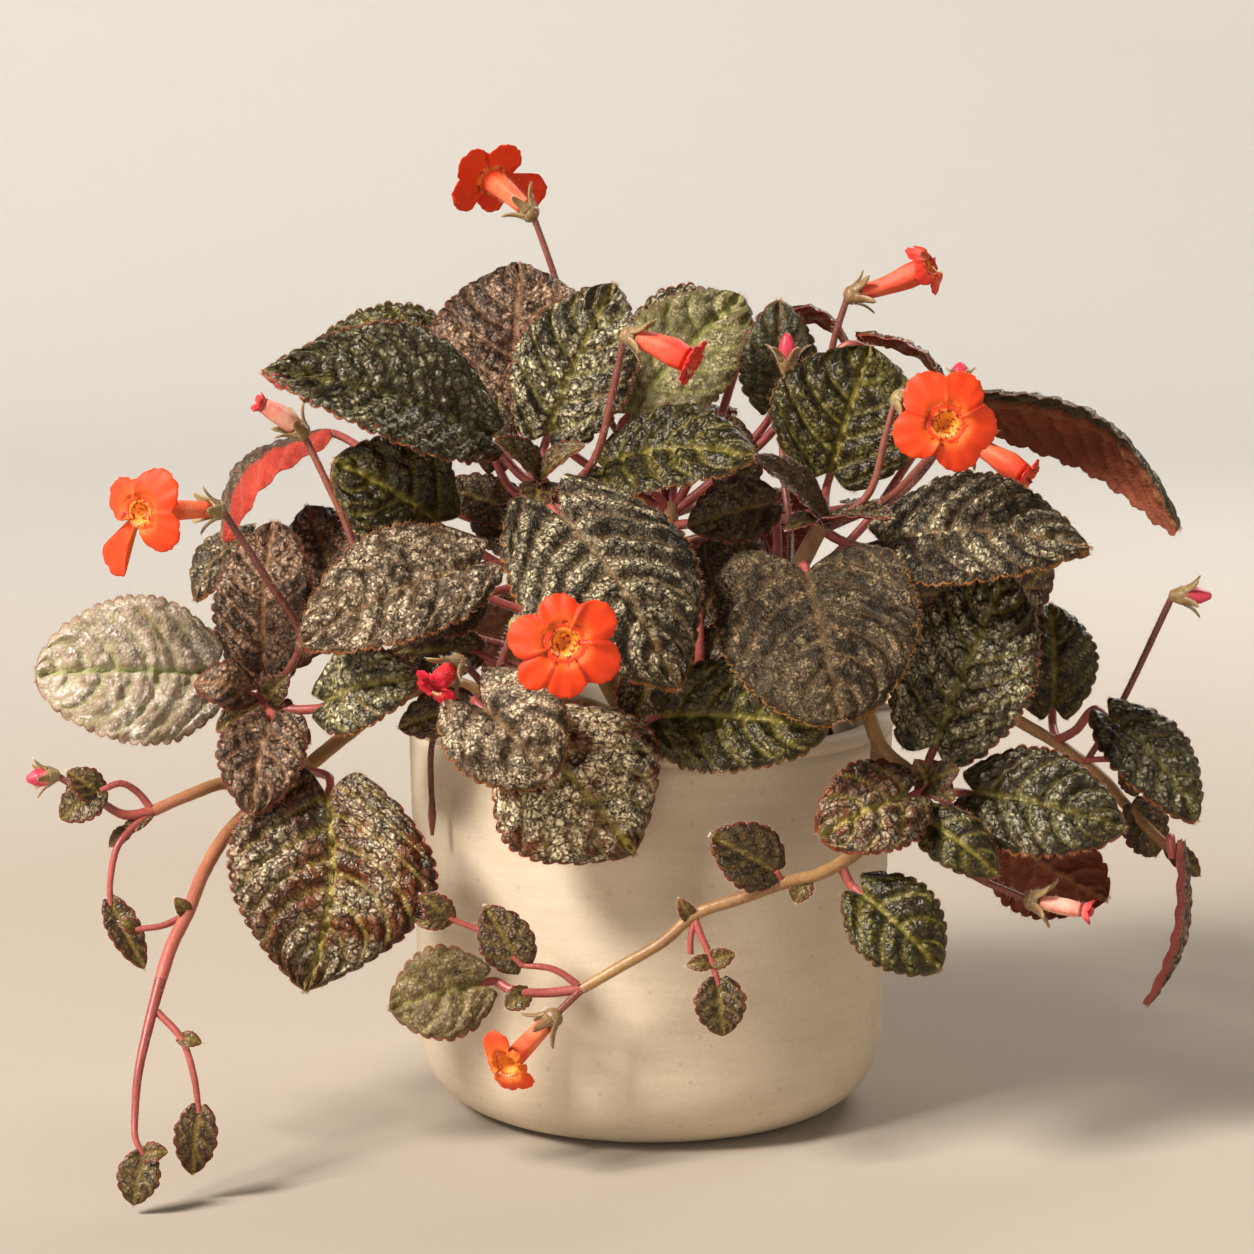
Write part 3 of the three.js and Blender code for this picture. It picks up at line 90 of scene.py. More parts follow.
# The large leaves: base and tip of the blade, its true breadth, the way its upper face looks, the
# stem system it belongs to and where its stalk starts. fold is the rise of its halves in degrees.
leafRows = {
    "leaf_01": leafRow((-40, 165, 22), (-94, 181, 42), 39, (0, 0.8, 0.9), "crown", "leftShoot", fold=22,
        arch=5, look="glossBronze", tipShape="pointed"),
    "leaf_02": leafRow((-46, 182.5, -28), (-86, 181.5, -32), 31, 0.5, "crown", "backShoot"),
    "leaf_03": leafRow((-33, 173, -3), (-32, 207, -28), 42, 0.6, "crown", "leftShoot", curl=-2,
        look="purpleBronze"),
    "leaf_04": leafRow((-25, 166, 20), (-9, 202, 8), 30, (-0.1, 0.3, 1), "crown", "leftShoot", fold=10,
        look="ribbedSilver"),
    "leaf_05": leafRow((-5, 171, -20), (22, 199, -34), 30, (-0.1, 0.4, 1), "crown", "backShoot",
        look="silverGreen", tipShape="blunt"),
    "leaf_06": leafRow((-3, 186, -42), (27, 190, -48), 30, 0.6, "crown", "backShoot", look="ribbedSilver"),
    "leaf_07": leafRow((-12, 158, 24), (25, 160.5, 46), 29, (0, 0.8, 0.8), "crown", "leftShoot"),
    "leaf_08": leafRow((-22, 146, 53), (7, 103, 76), 43, (0.15, 0.75, 1), "crown", "leftShootLow", notch=9,
        fold=-6, arch=6, look="bandedGrey", tipShape="pointed"),
    "leaf_09": leafRow((-42, 134, 48), (-86, 114, 62), 32, (-0.1, 0.7, 0.9), "crown", "leftShootLow", fold=14,
        look="fuzzyGrey"),
    "leaf_10": leafRow((-95, 108, 30), (-92, 144, 20), 25, (-0.2, 0.3, 1), "runner_left", "leftRosette",
        look="purpleBronze", tipShape="blunt"),
    "leaf_11": leafRow((-76, 127, 6), (-84, 148, -4), 21, 0.3, "crown", (-11, 106, 11), look="purpleBronze"),
    "leaf_12": leafRow((-98, 140, -4), (-112, 125, 2), 15, (-0.3, 0.6, 0.6), "runner_left", "leftRosette",
        look="bandedGrey", via=[(-98, 118, 8)]),
    "leaf_13": leafRow((-109, 106.5, 34), (-151, 106.5, 46), 36, (-0.2, 0.35, 1), "runner_left",
        "leftRosette", look="silverPink", tipShape="blunt"),
    "leaf_14": leafRow((-52, 144, 24), (-77, 159, 32), 31, (-0.1, 0.5, 1), "crown", (-21, 128, 18)),
    "leaf_15": leafRow((-83, 165, 4), (-105, 140, 14), 26, (-1, 0.6, 0.3), "crown", (-24, 138, 18), fold=-24,
        arch=9, look="coralUnder"),
    "leaf_16": leafRow((-100, 102, 41), (-112, 104, 45), 12, 0.5, "runner_left", "leftRosette",
        look="purpleBronze"),
    "leaf_17": leafRow((-94, 94, 47), (-98.5, 71.5, 61), 21, 0.3, "runner_left", "leftRosette",
        look="purpleBronze"),
    "leaf_19": leafRow((-80, 76, 52), (-86, 26.5, 63), 49, 0.35, "runner_left", "leftRosette", notch=6,
        sway=-4, look="redBronze", tipShape="pointed", via=[(-88, 84, 38)]),
    "leaf_20": leafRow((-80, 99.5, 45), (-57, 105.5, 58), 22, 0.5, "runner_left", "leftRosette",
        look="ribbedSilver"),
    "leaf_21": leafRow((-41, 98, 76), (-25, 80, 86), 29, 0.5, "crown", "frontShoot", notch=7,
        look="fuzzyGrey", tipShape="blunt"),
    "leaf_22": leafRow((-26, 88, 66), (-4, 61.5, 72), 42, (0.1, 0.3, 1), "crown", (-30, 100, 50), notch=7,
        fold=-4, look="speckled", tipShape="pointed"),
    "leaf_23": leafRow((3, 96, 57), (43, 93, 70), 28, (0.1, 0.5, 1), "crown", (12, 102, 9), tipShape="blunt"),
    "leaf_24": leafRow((38, 132, 48), (47, 95, 76), 46, (-0.1, 0.6, 1), "crown", "rightShootLow", notch=14,
        fold=-6, arch=5, look="fuzzyBrown", tipShape="blunt", lopsided=0.45),
    "leaf_25": leafRow((70, 89, 50), (87, 131, 30), 33, (-0.1, 0.35, 1), "front_runner", "rightRosette",
        look="ribbedSilver", tipShape="blunt"),
    "leaf_26": leafRow((99, 99, -10), (98, 124, -20), 22, 0.3, "right_runner", "rightNode"),
    "leaf_27": leafRow((56, 140, 30), (107, 138, 46), 38, (0, 0.85, 0.7), "crown", "rightShoot",
        look="bandedGrey", tipShape="pointed"),
    "leaf_28": leafRow((44, 157, 12), (53, 187, 0), 38, 0.45, "crown", "rightShoot"),
    "leaf_29": leafRow((79, 173, 4), (129, 143, 20), 30, (0.5, 1, -0.65), "crown", "rightShootLow", fold=-12,
        arch=11, look="brownUnder", folded=1, hidden=True),
    "leaf_30": leafRow((30, 193, -26), (48, 188, -24), 18, (0, 1, -0.3), "crown", "backShoot",
        look="redBronze"),
    "leaf_31": leafRow((53, 188, -18), (73, 175, -13), 19, (0.3, 1, -0.2), "crown", "backShoot",
        look="redBronze"),
    "leaf_32": leafRow((80, 77, 50), (117, 68, 62), 27, 0.5, "front_runner", "rightRosette",
        look="glossBronze"),
    "leaf_33": leafRow((63, 76, 63), (42, 66, 75), 23, (-0.1, 0.4, 1), "front_runner", "rightRosette",
        notch=4, look="redBronze", tipShape="blunt"),
    "leaf_34": leafRow((53, 51, 70), (72, 32, 76), 22, 0.4, "front_runner", (47, 59, 66)),
    "leaf_35": leafRow((68, 70, 60), (86, 56, 66), 14, 0.4, "front_runner", "rightRosette"),
    "leaf_36": leafRow((87, 66, 32), (113, 50, 38), 27, (0, -0.4, -1), "front_runner", "rightRosette",
        look="brownUnder"),
    "leaf_37": leafRow((113, 96, 15), (135, 70, 26), 21, (0.2, 0.5, 0.8), "right_runner", "rightNode",
        look="glossBronze"),
    "leaf_38": leafRow((131, 61, 20), (124, 23, 28), 15, (0.95, 0.2, 0.3), "right_runner", (128, 63, 13),
        look="redTurned"),
    "leaf_39": leafRow((30, 174, -19), (31, 198, -17), 20, (0.1, 0, 1), "crown", "backShoot",
        look="brownUnder"),
    "leaf_40": leafRow((-43, 28, 70), (-65, 22, 72), 22, 0.3, "front_runner", (-32, 26, 70), look="tanFuzzy"),
    "leaf_41": leafRow((-18, 128, -42), (-36, 104, -88), 38, (-0.2, 0.8, -0.6), "crown", "backShootLow",
        hidden=True),
    "leaf_42": leafRow((24, 128, -42), (42, 100, -90), 40, (0.2, 0.8, -0.6), "crown", "backShootLow",
        hidden=True),
    "leaf_43": leafRow((-48, 128, -22), (-90, 108, -52), 34, (-0.4, 0.9, -0.4), "crown", "backShootLow",
        hidden=True),
    "leaf_44": leafRow((56, 122, -24), (96, 98, -56), 34, (0.4, 0.9, -0.4), "crown", "backShootLow",
        hidden=True),
}

# The flowers and long buds: tube holds the radii at its narrow end, belly and mouth, and lobes the
# turn, reach and breadth of each lobe. back is how far the lobes lean back, in radians.
flowerRows = {
    "flower_1": dict(calyx=(-104, 147, 45), throat=(-125.5, 146, 60), face=(-0.55, 0, 0.85),
        tube=(1.9, 2.4, 3), lobes=[(149, 11, 10), (45, 12.4, 11.5), (-33, 11.5, 11), (-130, 18.5, 9.5),
        (100, 8, 6)], back=0.15, grower="runner_left", stalk=["leftRosette", (-86, 115, 40), (-94, 130, 43)]),
    "flower_2": dict(calyx=(-28, 218, -38), throat=(-38.5, 227, -48), face=(-0.5, 0.3, -0.8),
        tube=(2, 2.8, 3.2), lobes=[(20, 12.5, 10), (100, 10.5, 10), (182, 15.5, 10), (-34, 12.5, 9),
        (-105, 8, 8)], back=0.1, grower="crown", stalk=["backShoot", (-16, 180, -36), (-24, 206, -38)]),
    "flower_3": dict(calyx=(-7, 190, 40), throat=(10, 183, 45), face=(0.85, -0.45, 0.3), tube=(2.2, 3.4, 2.8),
        reach=6, lobe=5, back=-0.3, turn=10, grower="crown", stalk=[(-25, 149, 20), (-14, 159, 33),
        (-9, 177, 38)]),
    "flower_4": dict(calyx=(47, 199, -12), throat=(68, 207, -10), face=(0.8, 0.5, 0.35), tube=(1.9, 3.1, 2.8),
        reach=7, lobe=6, back=0.5, turn=0, grower="crown", stalk=[(4, 138, -26), (26, 146, -22),
        (42, 166, -16), (44, 187, -13)]),
    "flower_5": dict(calyx=(59, 175, 36), throat=(72, 168, 52), face=(0.1, 0.05, 1), tube=(1.9, 2.6, 3.2),
        lobes=[(129, 13.3, 12), (70, 12.9, 11), (0, 12.1, 11.5), (-56, 11.7, 11), (-157, 12.5, 12)],
        back=0.12, grower="crown", stalk=["rightShoot", (53, 151, 36), (57, 165, 37)]),
    "flower_6": dict(calyx=(76, 165, 14), throat=(92, 155, 22), face=(0.8, -0.5, 0.4), tube=(2, 3.2, 2.4),
        reach=5, lobe=4, back=-0.2, turn=30, grower="crown", stalk=["rightShoot", (58, 150, 22),
        (70, 162, 14)]),
    "flower_7": dict(calyx=(-34, 119, 74), throat=(-21, 114, 90), face=(0.05, 0.1, 1), tube=(1.9, 2.6, 3.2),
        lobes=[(107, 11.2, 10), (41, 13, 10), (-22, 13.4, 10.5), (-83, 12.3, 10), (-129, 13.3, 7.5),
        (177, 12.8, 10.5)], back=0.12, grower="crown", stalk=["frontShoot", (-37, 108, 70)]),
    "flower_8": dict(calyx=(-46, 110, 68), throat=(-53, 103, 74), face=(-0.5, -0.6, 0.6),
        tube=(1.9, 2.5, 2.2), reach=5.5, lobe=4.5, back=-0.2, turn=40, grower="crown", stalk=["frontShoot",
        (-43, 106, 67)]),
    "flower_9": dict(calyx=(-23, 21, 73), throat=(-36, 7, 80), face=(-0.4, -0.3, 0.85), tube=(1.9, 2.4, 2.8),
        lobes=[(120, 8.5, 7), (50, 4.5, 4), (-15, 4.8, 4.5), (-55, 7.5, 6.5), (-105, 7.8, 6.5),
        (190, 5.5, 5)], back=0.2, grower="front_runner", stalk=[(-17, 27, 70)]),
    "bud_1": dict(calyx=(-84, 165, 30), throat=(-95, 173, 34), face=(-0.85, 0.5, 0.3), tube=(2, 2.4, 1.6),
        reach=2.6, lobe=2.4, back=-0.9, turn=0, grower="crown", stalk=[(-12, 108, 11), (-55, 120, 28),
        (-70, 133, 34), (-75, 145, 32)]),
    "bud_2": dict(calyx=(93, 50, 56), throat=(108, 47, 61), face=(0.95, -0.15, 0.3), tube=(1.6, 2, 1.5),
        reach=3, lobe=2.6, back=-0.8, turn=0, grower="front_runner", stalk=["rightRosette", (70, 64, 52),
        (80, 56, 54)]),
}

# Short closed buds on their own stalks
closedBudRows = [
    dict(seat=(127, 126, 10), tip=(137, 126, 12), grower="right_runner", stalk=[(107, 84, -1), (115, 98, 6)]),
    dict(seat=(-146, 81, 58), tip=(-154, 80, 60), grower="runner_left", stalk=[(-137, 75, 57)]),
    dict(seat=(33, 180, -5), tip=(33, 190, -5), grower="crown", stalk=[(34, 129, 26), (34, 142, 8),
        (32, 160, -4)]),
    dict(seat=(75, 178, 2), tip=(75, 183, 2), grower="crown", stalk=["rightShoot", (62, 152, 14),
        (72, 166, 6)]),
]

# The stems of each system: their radii along the way, the places they pass, and any that withered
stemRows = {
    "crown": [
        ((8, 5.6), [(0, 62, 0), (0, 96, 0)]),
        ((2.8, 2.2), [(-2, 90, 2), (-10, 104, 10), (-20, 127, 18), (-27, 154, 22)]),
        ((2.8, 2.2), [(2, 90, 2), (12, 102, 9), (29, 121, 23), (42, 144, 32)]),
        ((2.6, 2), [(0, 90, -2), (2, 106, -13), (4, 130, -24), (5, 149, -28)]),
        ((1.9, 1.5), [(-2, 92, 3), (-16, 99, 26), (-31, 100, 52), (-41, 103, 66)]),
        ((1.3, 1), [(5, 146, -28), (0, 149, -38), (-8, 151, -47)]),
        ((1.3, 1), [(5, 146, -28), (14, 149, -38), (22, 151, -47)]),
        ((1.3, 1), [(4, 136, -26), (-18, 146, -32), (-38, 151, -37)]),
        ((1.3, 1), [(4, 136, -26), (28, 144, -30), (50, 148, -36)]),
        ((1.3, 1), [(5, 148, -28), (6, 162, -36), (7, 170, -43)]),
        ((1.3, 1), [(29, 121, 23), (31, 138, 20), (30, 149, 21)]),
        ((1.3, 1), [(-20, 127, 18), (-32, 128, 27), (-42, 126, 35)]),
        ((1.3, 1), [(12, 102, 9), (12, 112, 10), (12, 123, 8)]),
        ((1.3, 1), [(2, 92, 2), (6, 99, 7), (8, 106, 10)]),
        ((1.3, 1), [(29, 121, 23), (40, 120, 18), (54, 124, 12)]),
        ((1.3, 1), [(29, 121, 23), (56, 117, 8), (82, 118, -3)]),
        ((1.3, 1), [(5, 143, -27), (14, 145, -20), (21, 151, -12)]),
        ((1.2, 1), [(-24, 142, 19), (-33, 147, 13)]),
        ((1.2, 1), [(-27, 148, 20), (-34, 152, 14), (-38, 159, 10)]),
        ((1.3, 1), [(-24, 100, 40), (-34, 108, 38), (-44, 112, 36)]),
        ((1.3, 1), [(-31, 100, 52), (-46, 98, 48)]),
        ((1.3, 1), [(-2, 92, 3), (-4, 94, 11), (-4, 98, 18)]),
        ((0.8, 0.7), [(-44, 99, 48), (-51, 97, 43), (-54, 88, 38), (-54, 72, 38)], "withered"),
        ((0.6, 1.1, 0.4), [(-54, 76, 38), (-54, 70, 38), (-54, 66, 38)], "withered"),
    ],
    "runner_left": [
        ((2.3, 1.5), [(-32, 68, 5), (-32, 90, 5), (-38, 99, 7), (-50, 104, 10), (-62, 101, 15), (-74, 92, 20),
            (-85, 83, 28), (-98, 73, 38), (-105, 66, 46), (-111, 56, 56), (-115, 46, 66), (-119, 38, 72),
            (-122, 29, 78)]),
        ((1.5, 0.7), [(-122, 29, 78), (-125, 18, 84), (-128, 5, 90), (-129, -5, 93), (-129, -12, 96),
            (-127, -16, 97)]),
        ((1.8, 1.6), [(-85, 83, 28), (-91, 91, 32), (-95, 99, 34)]),
        ((1.7, 1.4), [(-97, 74, 37), (-104, 79, 42), (-114, 76, 48), (-123, 72, 52)]),
        ((1.3, 0.9), [(-123, 72, 52), (-130, 71, 55), (-137, 75, 57)]),
        ((0.9, 0.8), [(-123, 72, 52), (-127, 77, 53), (-131, 79, 55), (-136, 77, 57)]),
        ((1, 0.7), [(-123, 72, 52), (-128, 68, 55), (-132, 63, 58), (-134, 54, 60), (-134, 48, 61)]),
        ((0.9, 0.7), [(-115, 46, 66), (-121, 43, 68), (-128, 42, 69)]),
        ((0.9, 0.7), [(-123, 21, 82), (-117, 14, 85), (-114, 4, 87), (-113, -5, 88)]),
    ],
    "front_runner": [
        ((2, 1.7), [(24, 68, 20), (24, 90, 20), (29, 99, 25), (40, 104, 35), (52, 99, 46), (57, 88, 52),
            (68, 79, 55)]),
        ((1.7, 1.3), [(56, 90, 51), (55, 74, 57), (52, 63, 63), (47, 59, 66), (41, 56, 68), (33, 54, 69),
            (22, 50, 70), (11, 46, 70), (3, 39, 70), (-7, 33, 70), (-17, 27, 70)]),
        ((1.2, 1.1), [(-17, 27, 70), (-25, 26, 70), (-32, 26, 70)]),
        ((0.9, 0.7), [(-18, 28, 70), (-24, 32, 70), (-32, 33, 69)]),
        ((0.8, 0.7), [(-32, 33, 69), (-41, 41, 69), (-50, 45, 69)]),
        ((0.9, 0.7), [(11, 45, 70), (12, 42, 71), (15, 35, 73), (17, 28, 74)]),
        ((0.8, 0.7), [(11, 45, 70), (10, 40, 71), (10, 36, 71)]),
        ((0.9, 0.8), [(33, 54, 69), (31, 57, 70)]),
    ],
    "right_runner": [
        ((1.9, 1.3), [(32, 68, -2), (32, 90, -2), (38, 101, -2), (56, 107, -4), (76, 103, -6), (92, 94, -6),
            (102, 88, -4), (112, 80, 2), (118, 73, 7), (129, 62, 14)]),
        ((0.8, 0.7), [(106, 85, 0), (114, 85, 2), (117, 82, 3)]),
    ],
}

# The young leaves at the rosettes, the little leaves along the runners and the leaves behind
twigLeafRows = {
    "crown": [
        leafRow((-27, 154, 22), (-38, 164, 29), 12, (0.2, 0.8, 0.6), fold=26),
        leafRow((-27, 154, 22), (-16, 163, 29), 10, (-0.3, 0.8, 0.6), fold=24),
        leafRow((-27, 153, 22), (-28, 147, 33), 10, (0, 1, 0.3), fold=20),
        leafRow((42, 144, 32), (25, 160, 39), 16, (0.5, 0.9, 0.5), fold=22, arch=1),
        leafRow((42, 144, 32), (59, 145, 46), 13, (0, 1, 0.3), fold=20),
        leafRow((42, 144, 32), (33, 142, 39), 8, (0, 1, 0.4), fold=20),
        leafRow((-8, 151, -47), (-20, 132, -76), 30, (-0.1, 0.9, -0.5), arch=4),
        leafRow((22, 151, -47), (34, 132, -78), 30, (0.1, 0.9, -0.5), arch=4),
        leafRow((-38, 151, -37), (-64, 139, -58), 26, (-0.4, 0.9, -0.4), arch=4),
        leafRow((50, 148, -36), (76, 134, -58), 26, (0.4, 0.9, -0.4), arch=4),
        leafRow((7, 170, -43), (9, 160, -72), 28, (0, 0.9, -0.3), arch=4),
        leafRow((30, 149, 21), (9, 143, 25), 17, 0.5),
        leafRow((-42, 126, 35), (-60, 119, 42), 15, 0.2),
        leafRow((12, 121, 8), (25, 142, -4), 20, 0.3),
        leafRow((8, 104, 10), (22, 123, 3), 18, 0.3),
        leafRow((52, 124, 12), (78, 127, 0), 18, 0.5),
        leafRow((80, 117, -3), (98, 134, -12), 16, 0.4),
        leafRow((21, 149, -12), (20, 170, -14), 13, 0.2),
        leafRow((-31, 146, 13), (-52, 153, 8), 13, 0.5),
        leafRow((-38, 157, 10), (-37, 175, 6), 11, 0.2),
        leafRow((-25, 138, 20), (-44, 145, 12), 14, 0.4),
        leafRow((-42, 112, 36), (-64, 112, 40), 13, 0.4),
        leafRow((-44, 99, 48), (-62, 93, 46), 12, 0.4),
        leafRow((-4, 96, 18), (4, 113, 22), 14, 0.3),
    ],
    "runner_left": [
        leafRow((-95, 99, 34), (-89, 106, 38), 8, 0.4),
        leafRow((-136, 77, 57), (-146, 70, 60), 10, 0.4),
        leafRow((-136, 76, 57), (-144, 82, 58), 8, (0, 0.6, 0.8)),
        leafRow((-134, 49, 61), (-126, 32, 63), 8, (0.2, 0.2, 1)),
        leafRow((-128, 42, 69), (-132, 44, 70), 4, 0.6),
        leafRow((-115, 46, 66), (-118, 50, 68), 4, 0.6),
        leafRow((-117, 14, 85), (-112, 13, 86), 4, 0.6),
        leafRow((-113, -4, 88), (-115, -21, 89), 10, (0.1, 0.1, 1)),
        leafRow((-127, -16, 97), (-130, -29, 99), 10, 0.2),
        leafRow((-127, -16, 97), (-121, -15, 98), 5, 0.6),
        leafRow((-95, 99, 34), (-107, 92, 40), 9, 0.5),
        leafRow((-95, 99, 34), (-84, 89, 42), 9, 0.5),
        leafRow((-124, 71, 53), (-131, 66, 55), 4, 0.4),
        leafRow((-129, 67.4, 54.4), (-134, 63, 56), 4, 0.4),
    ],
    "front_runner": [
        leafRow((68, 79, 55), (76, 83, 60), 8, 0.5),
        leafRow((68, 79, 55), (75, 75, 62), 7, 0.6),
        leafRow((68, 79, 55), (65, 85, 60), 7, 0.5),
        leafRow((31, 57, 70), (15, 66, 73), 16, 0.4),
        leafRow((17, 29, 74), (18, 15, 75), 12, 0.1),
        leafRow((15, 34, 73), (21, 36, 74), 5, 0.3),
        leafRow((15, 34, 73), (9, 33, 74), 4, 0.3),
        leafRow((10, 45, 70), (7, 50, 72), 4, 0.3),
        leafRow((-32, 33, 69), (-41, 48, 68), 13, 0.2),
        leafRow((-31, 26, 70), (-36, 22, 72), 6, 0.3),
        leafRow((38, 55, 68), (36, 49, 70), 6, 0.3),
        leafRow((-50, 45, 69), (-57, 51, 70), 7, 0.3),
        leafRow((-50, 45, 69), (-58, 43.5, 71), 5, 0.3),
    ],
    "right_runner": [
        leafRow((117, 82, 3), (120, 76, 5), 6, 0.4),
        leafRow((119, 74, 8), (125, 61, 5), 13, (0.2, 0.4, 1)),
        leafRow((128, 63, 13), (136, 56, 12), 6, 0.5),
    ],
}


# Smooth steps and noise that the forms and masks share
def smooth(low, high, x):
    t = np.clip((x - low) / (high - low), 0, 1)
    return t * t * (3 - 2 * t)


def hashed(i, j, seed):
    n = np.sin(i * 127.1 + j * 311.7 + seed * 74.7) * 43758.5453
    return n - np.floor(n)


def ripple(x, y, seed):  # soft noise between 0 and 1
    i, j = np.floor(x), np.floor(y)
    u, v = smooth(0, 1, x - i), smooth(0, 1, y - j)
    low = hashed(i, j, seed) * (1 - u) + hashed(i + 1, j, seed) * u
    high = hashed(i, j + 1, seed) * (1 - u) + hashed(i + 1, j + 1, seed) * u
    return low * (1 - v) + high * v


def pebbles(x, y, seed):  # distance to the wall between neighbouring cells, in cell widths
    i, j = np.floor(x), np.floor(y)
    near = np.full(np.broadcast(x, y).shape, 9.0)
    second = near.copy()
    for di in (-1, 0, 1):
        for dj in (-1, 0, 1):
            cx = i + di + 0.15 + 0.7 * hashed(i + di, j + dj, seed)
            cy = j + dj + 0.15 + 0.7 * hashed(i + di, j + dj, seed + 5)
            d = np.hypot(x - cx, y - cy)
            second = np.where(d < near, near, np.minimum(second, d))
            near = np.minimum(near, d)
    return second - near


def masked(*masks):  # four masks of the same places as one array
    return np.stack(np.broadcast_arrays(*masks), -1)


# A form gathers points in mm, faces, four masks a point and the finish of each face
def newForm():
    form = {key: [] for key in ("points", "paint", "quads", "tris", "quadFinish", "triFinish")}
    return {"count": 0, **form}


def addFaces(form, faces, finish, first=0):
    kind = "quad" if faces.shape[1] == 4 else "tri"
    form[kind + "s"].append(faces + first)
    form[kind + "Finish"].append(np.full(len(faces), finish))


def addPatch(form, points, faces, finish, paint=None):  # returns the number of its first point
    points = np.asarray(points, float).reshape(-1, 3)
    first = form["count"]
    addFaces(form, faces, finish, first)
    form["points"].append(points)
    form["paint"].append(np.zeros((len(points), 4)) if paint is None else paint.reshape(-1, 4))
    form["count"] += len(points)
    return first


def gridFaces(rows, columns, closed=False):
    stride = columns if closed else columns + 1
    i, j = np.meshgrid(np.arange(rows), np.arange(columns), indexing="ij")
    a = i * stride + j
    b = i * stride + (j + 1) % stride if closed else a + 1
    return np.stack([a, b, b + stride, a + stride], -1).reshape(-1, 4)


# Rings of points, closed by a point at either end
def addLoft(form, rings, low, high, finish, paint=None):
    count, sides = rings.shape[:2]
    points = np.concatenate([rings.reshape(-1, 3), [low, high]])
    first = addPatch(form, points, gridFaces(count - 1, sides, closed=True), finish, paint)
    k = np.arange(sides)
    after, last, end = (k + 1) % sides, (count - 1) * sides, count * sides
    addFaces(form, np.stack([np.full(sides, end), after, k], -1), finish, first)
    addFaces(form, np.stack([np.full(sides, end + 1), last + k, last + after], -1), finish, first)


# A thin sheet with two sides and a wall round them; returns the numbers of the points of its rim
def addSheet(form, upper, lower, finish, paints=(None, None), turned=False):
    rows, strips = upper.shape[0] - 1, upper.shape[1] - 1
    stride, under = strips + 1, upper.shape[0] * upper.shape[1]
    faces = gridFaces(rows, strips)
    first = addPatch(form, upper, faces if turned else faces[:, ::-1], finish, paints[0])
    addPatch(form, lower, faces[:, ::-1] if turned else faces, finish, paints[1])
    rim = np.concatenate([np.arange(strips), np.arange(rows) * stride + strips,
                          rows * stride + np.arange(strips, 0, -1), np.arange(rows, 0, -1) * stride])
    after = np.roll(rim, -1)
    wall = np.stack([rim, after, under + after, under + rim], -1)
    addFaces(form, wall[:, [1, 0, 3, 2]] if turned else wall, finish, first)
    return rim


# Thin pointed hairs, each a closed sliver
def addHairs(form, roots, ways, lengths, radius, finish):
    if not len(roots):
        return
    ways = units(ways)
    side = np.cross(ways, np.where(np.abs(ways[:, 2:3]) < 0.8, [[0, 0, 1.0]], [[1.0, 0, 0]]))
    side = units(side)
    other = np.cross(ways, side)
    ring = [roots + radius * (side * math.cos(a) + other * math.sin(a)) for a in (0, 2.094, 4.189)]
    points = np.stack(ring + [roots + ways * lengths[:, None]], 1)
    k = np.arange(len(roots))[:, None] * 4
    faces = np.concatenate([k + [0, 1, 3], k + [1, 2, 3], k + [2, 0, 3], k + [2, 1, 0]])
    addPatch(form, points, faces, finish)


def formObject(form, name, finishes):
    mesh = bpy.data.meshes.new(name)
    points = np.concatenate(form["points"]) * mm
    quads = np.concatenate(form["quads"]) if form["quads"] else np.zeros((0, 4), int)
    tris = np.concatenate(form["tris"]) if form["tris"] else np.zeros((0, 3), int)
    mesh.vertices.add(len(points))
    mesh.vertices.foreach_set("co", points.ravel())
    mesh.loops.add(quads.size + tris.size)
    mesh.loops.foreach_set("vertex_index", np.concatenate([quads.ravel(), tris.ravel()]))
    mesh.polygons.add(len(quads) + len(tris))
    starts = np.concatenate([np.arange(len(quads)) * 4, quads.size + np.arange(len(tris)) * 3])
    mesh.polygons.foreach_set("loop_start", starts)
    mesh.update(calc_edges=True)
    mesh.polygons.foreach_set("use_smooth", np.ones(len(starts), bool))
    finish = np.concatenate(form["quadFinish"] + form["triFinish"])
    mesh.polygons.foreach_set("material_index", finish.astype(int))
    masks = mesh.attributes.new("paint", "FLOAT_COLOR", "POINT")
    masks.data.foreach_set("color", np.concatenate(form["paint"]).ravel())
    mesh.validate()
    for finishMaterial in finishes:
        mesh.materials.append(finishMaterial)
    return placed(name, mesh)


def placed(name, data):
    piece = bpy.data.objects.new(name, data)
    bpy.context.collection.objects.link(piece)
    return piece


def selectOnly(*pieces):  # the last one becomes the active one
    bpy.ops.object.select_all(action="DESELECT")
    for piece in pieces:
        piece.select_set(True)
        bpy.context.view_layer.objects.active = piece


def finishPiece(piece, node):
    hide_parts(node)
    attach(piece, "root")


# Procedural finishes: newFinish starts a material, and the helpers after it add nodes to that one
tree = {}


def newFinish(name, values):
    material = bpy.data.materials.new(name)
    material.use_nodes = True
    tree.update(nodes=material.node_tree.nodes, links=material.node_tree.links)
    tree["shader"] = tree["nodes"]["Principled BSDF"].inputs
    for key, value in values.items():
        tree["shader"][key].default_value = value
    return material


def put(socket, value):
    if isinstance(value, bpy.types.NodeSocket):
        tree["links"].new(value, socket)
    else:
        socket.default_value = value


def add(kind, *values, **settings):  # values go to the inputs in their order, settings by name
    node = tree["nodes"].new("ShaderNode" + kind)
    for key, value in settings.items():
        if hasattr(node, key):
            setattr(node, key, value)
        else:
            put(node.inputs[key], value)
    for socket, value in zip(node.inputs, values):
        put(socket, value)
    return node


def objectPlace():
    return add("TexCoord").outputs["Object"]


def paintMasks():
    masks = add("Attribute", attribute_name="paint")
    return (*add("SeparateColor", masks.outputs["Color"]).outputs, masks.outputs["Alpha"])


def noise(place, scale, detail=4.0, rough=0.6):
    return add("TexNoise", Vector=place, Scale=scale, Detail=detail, Roughness=rough).outputs["Fac"]


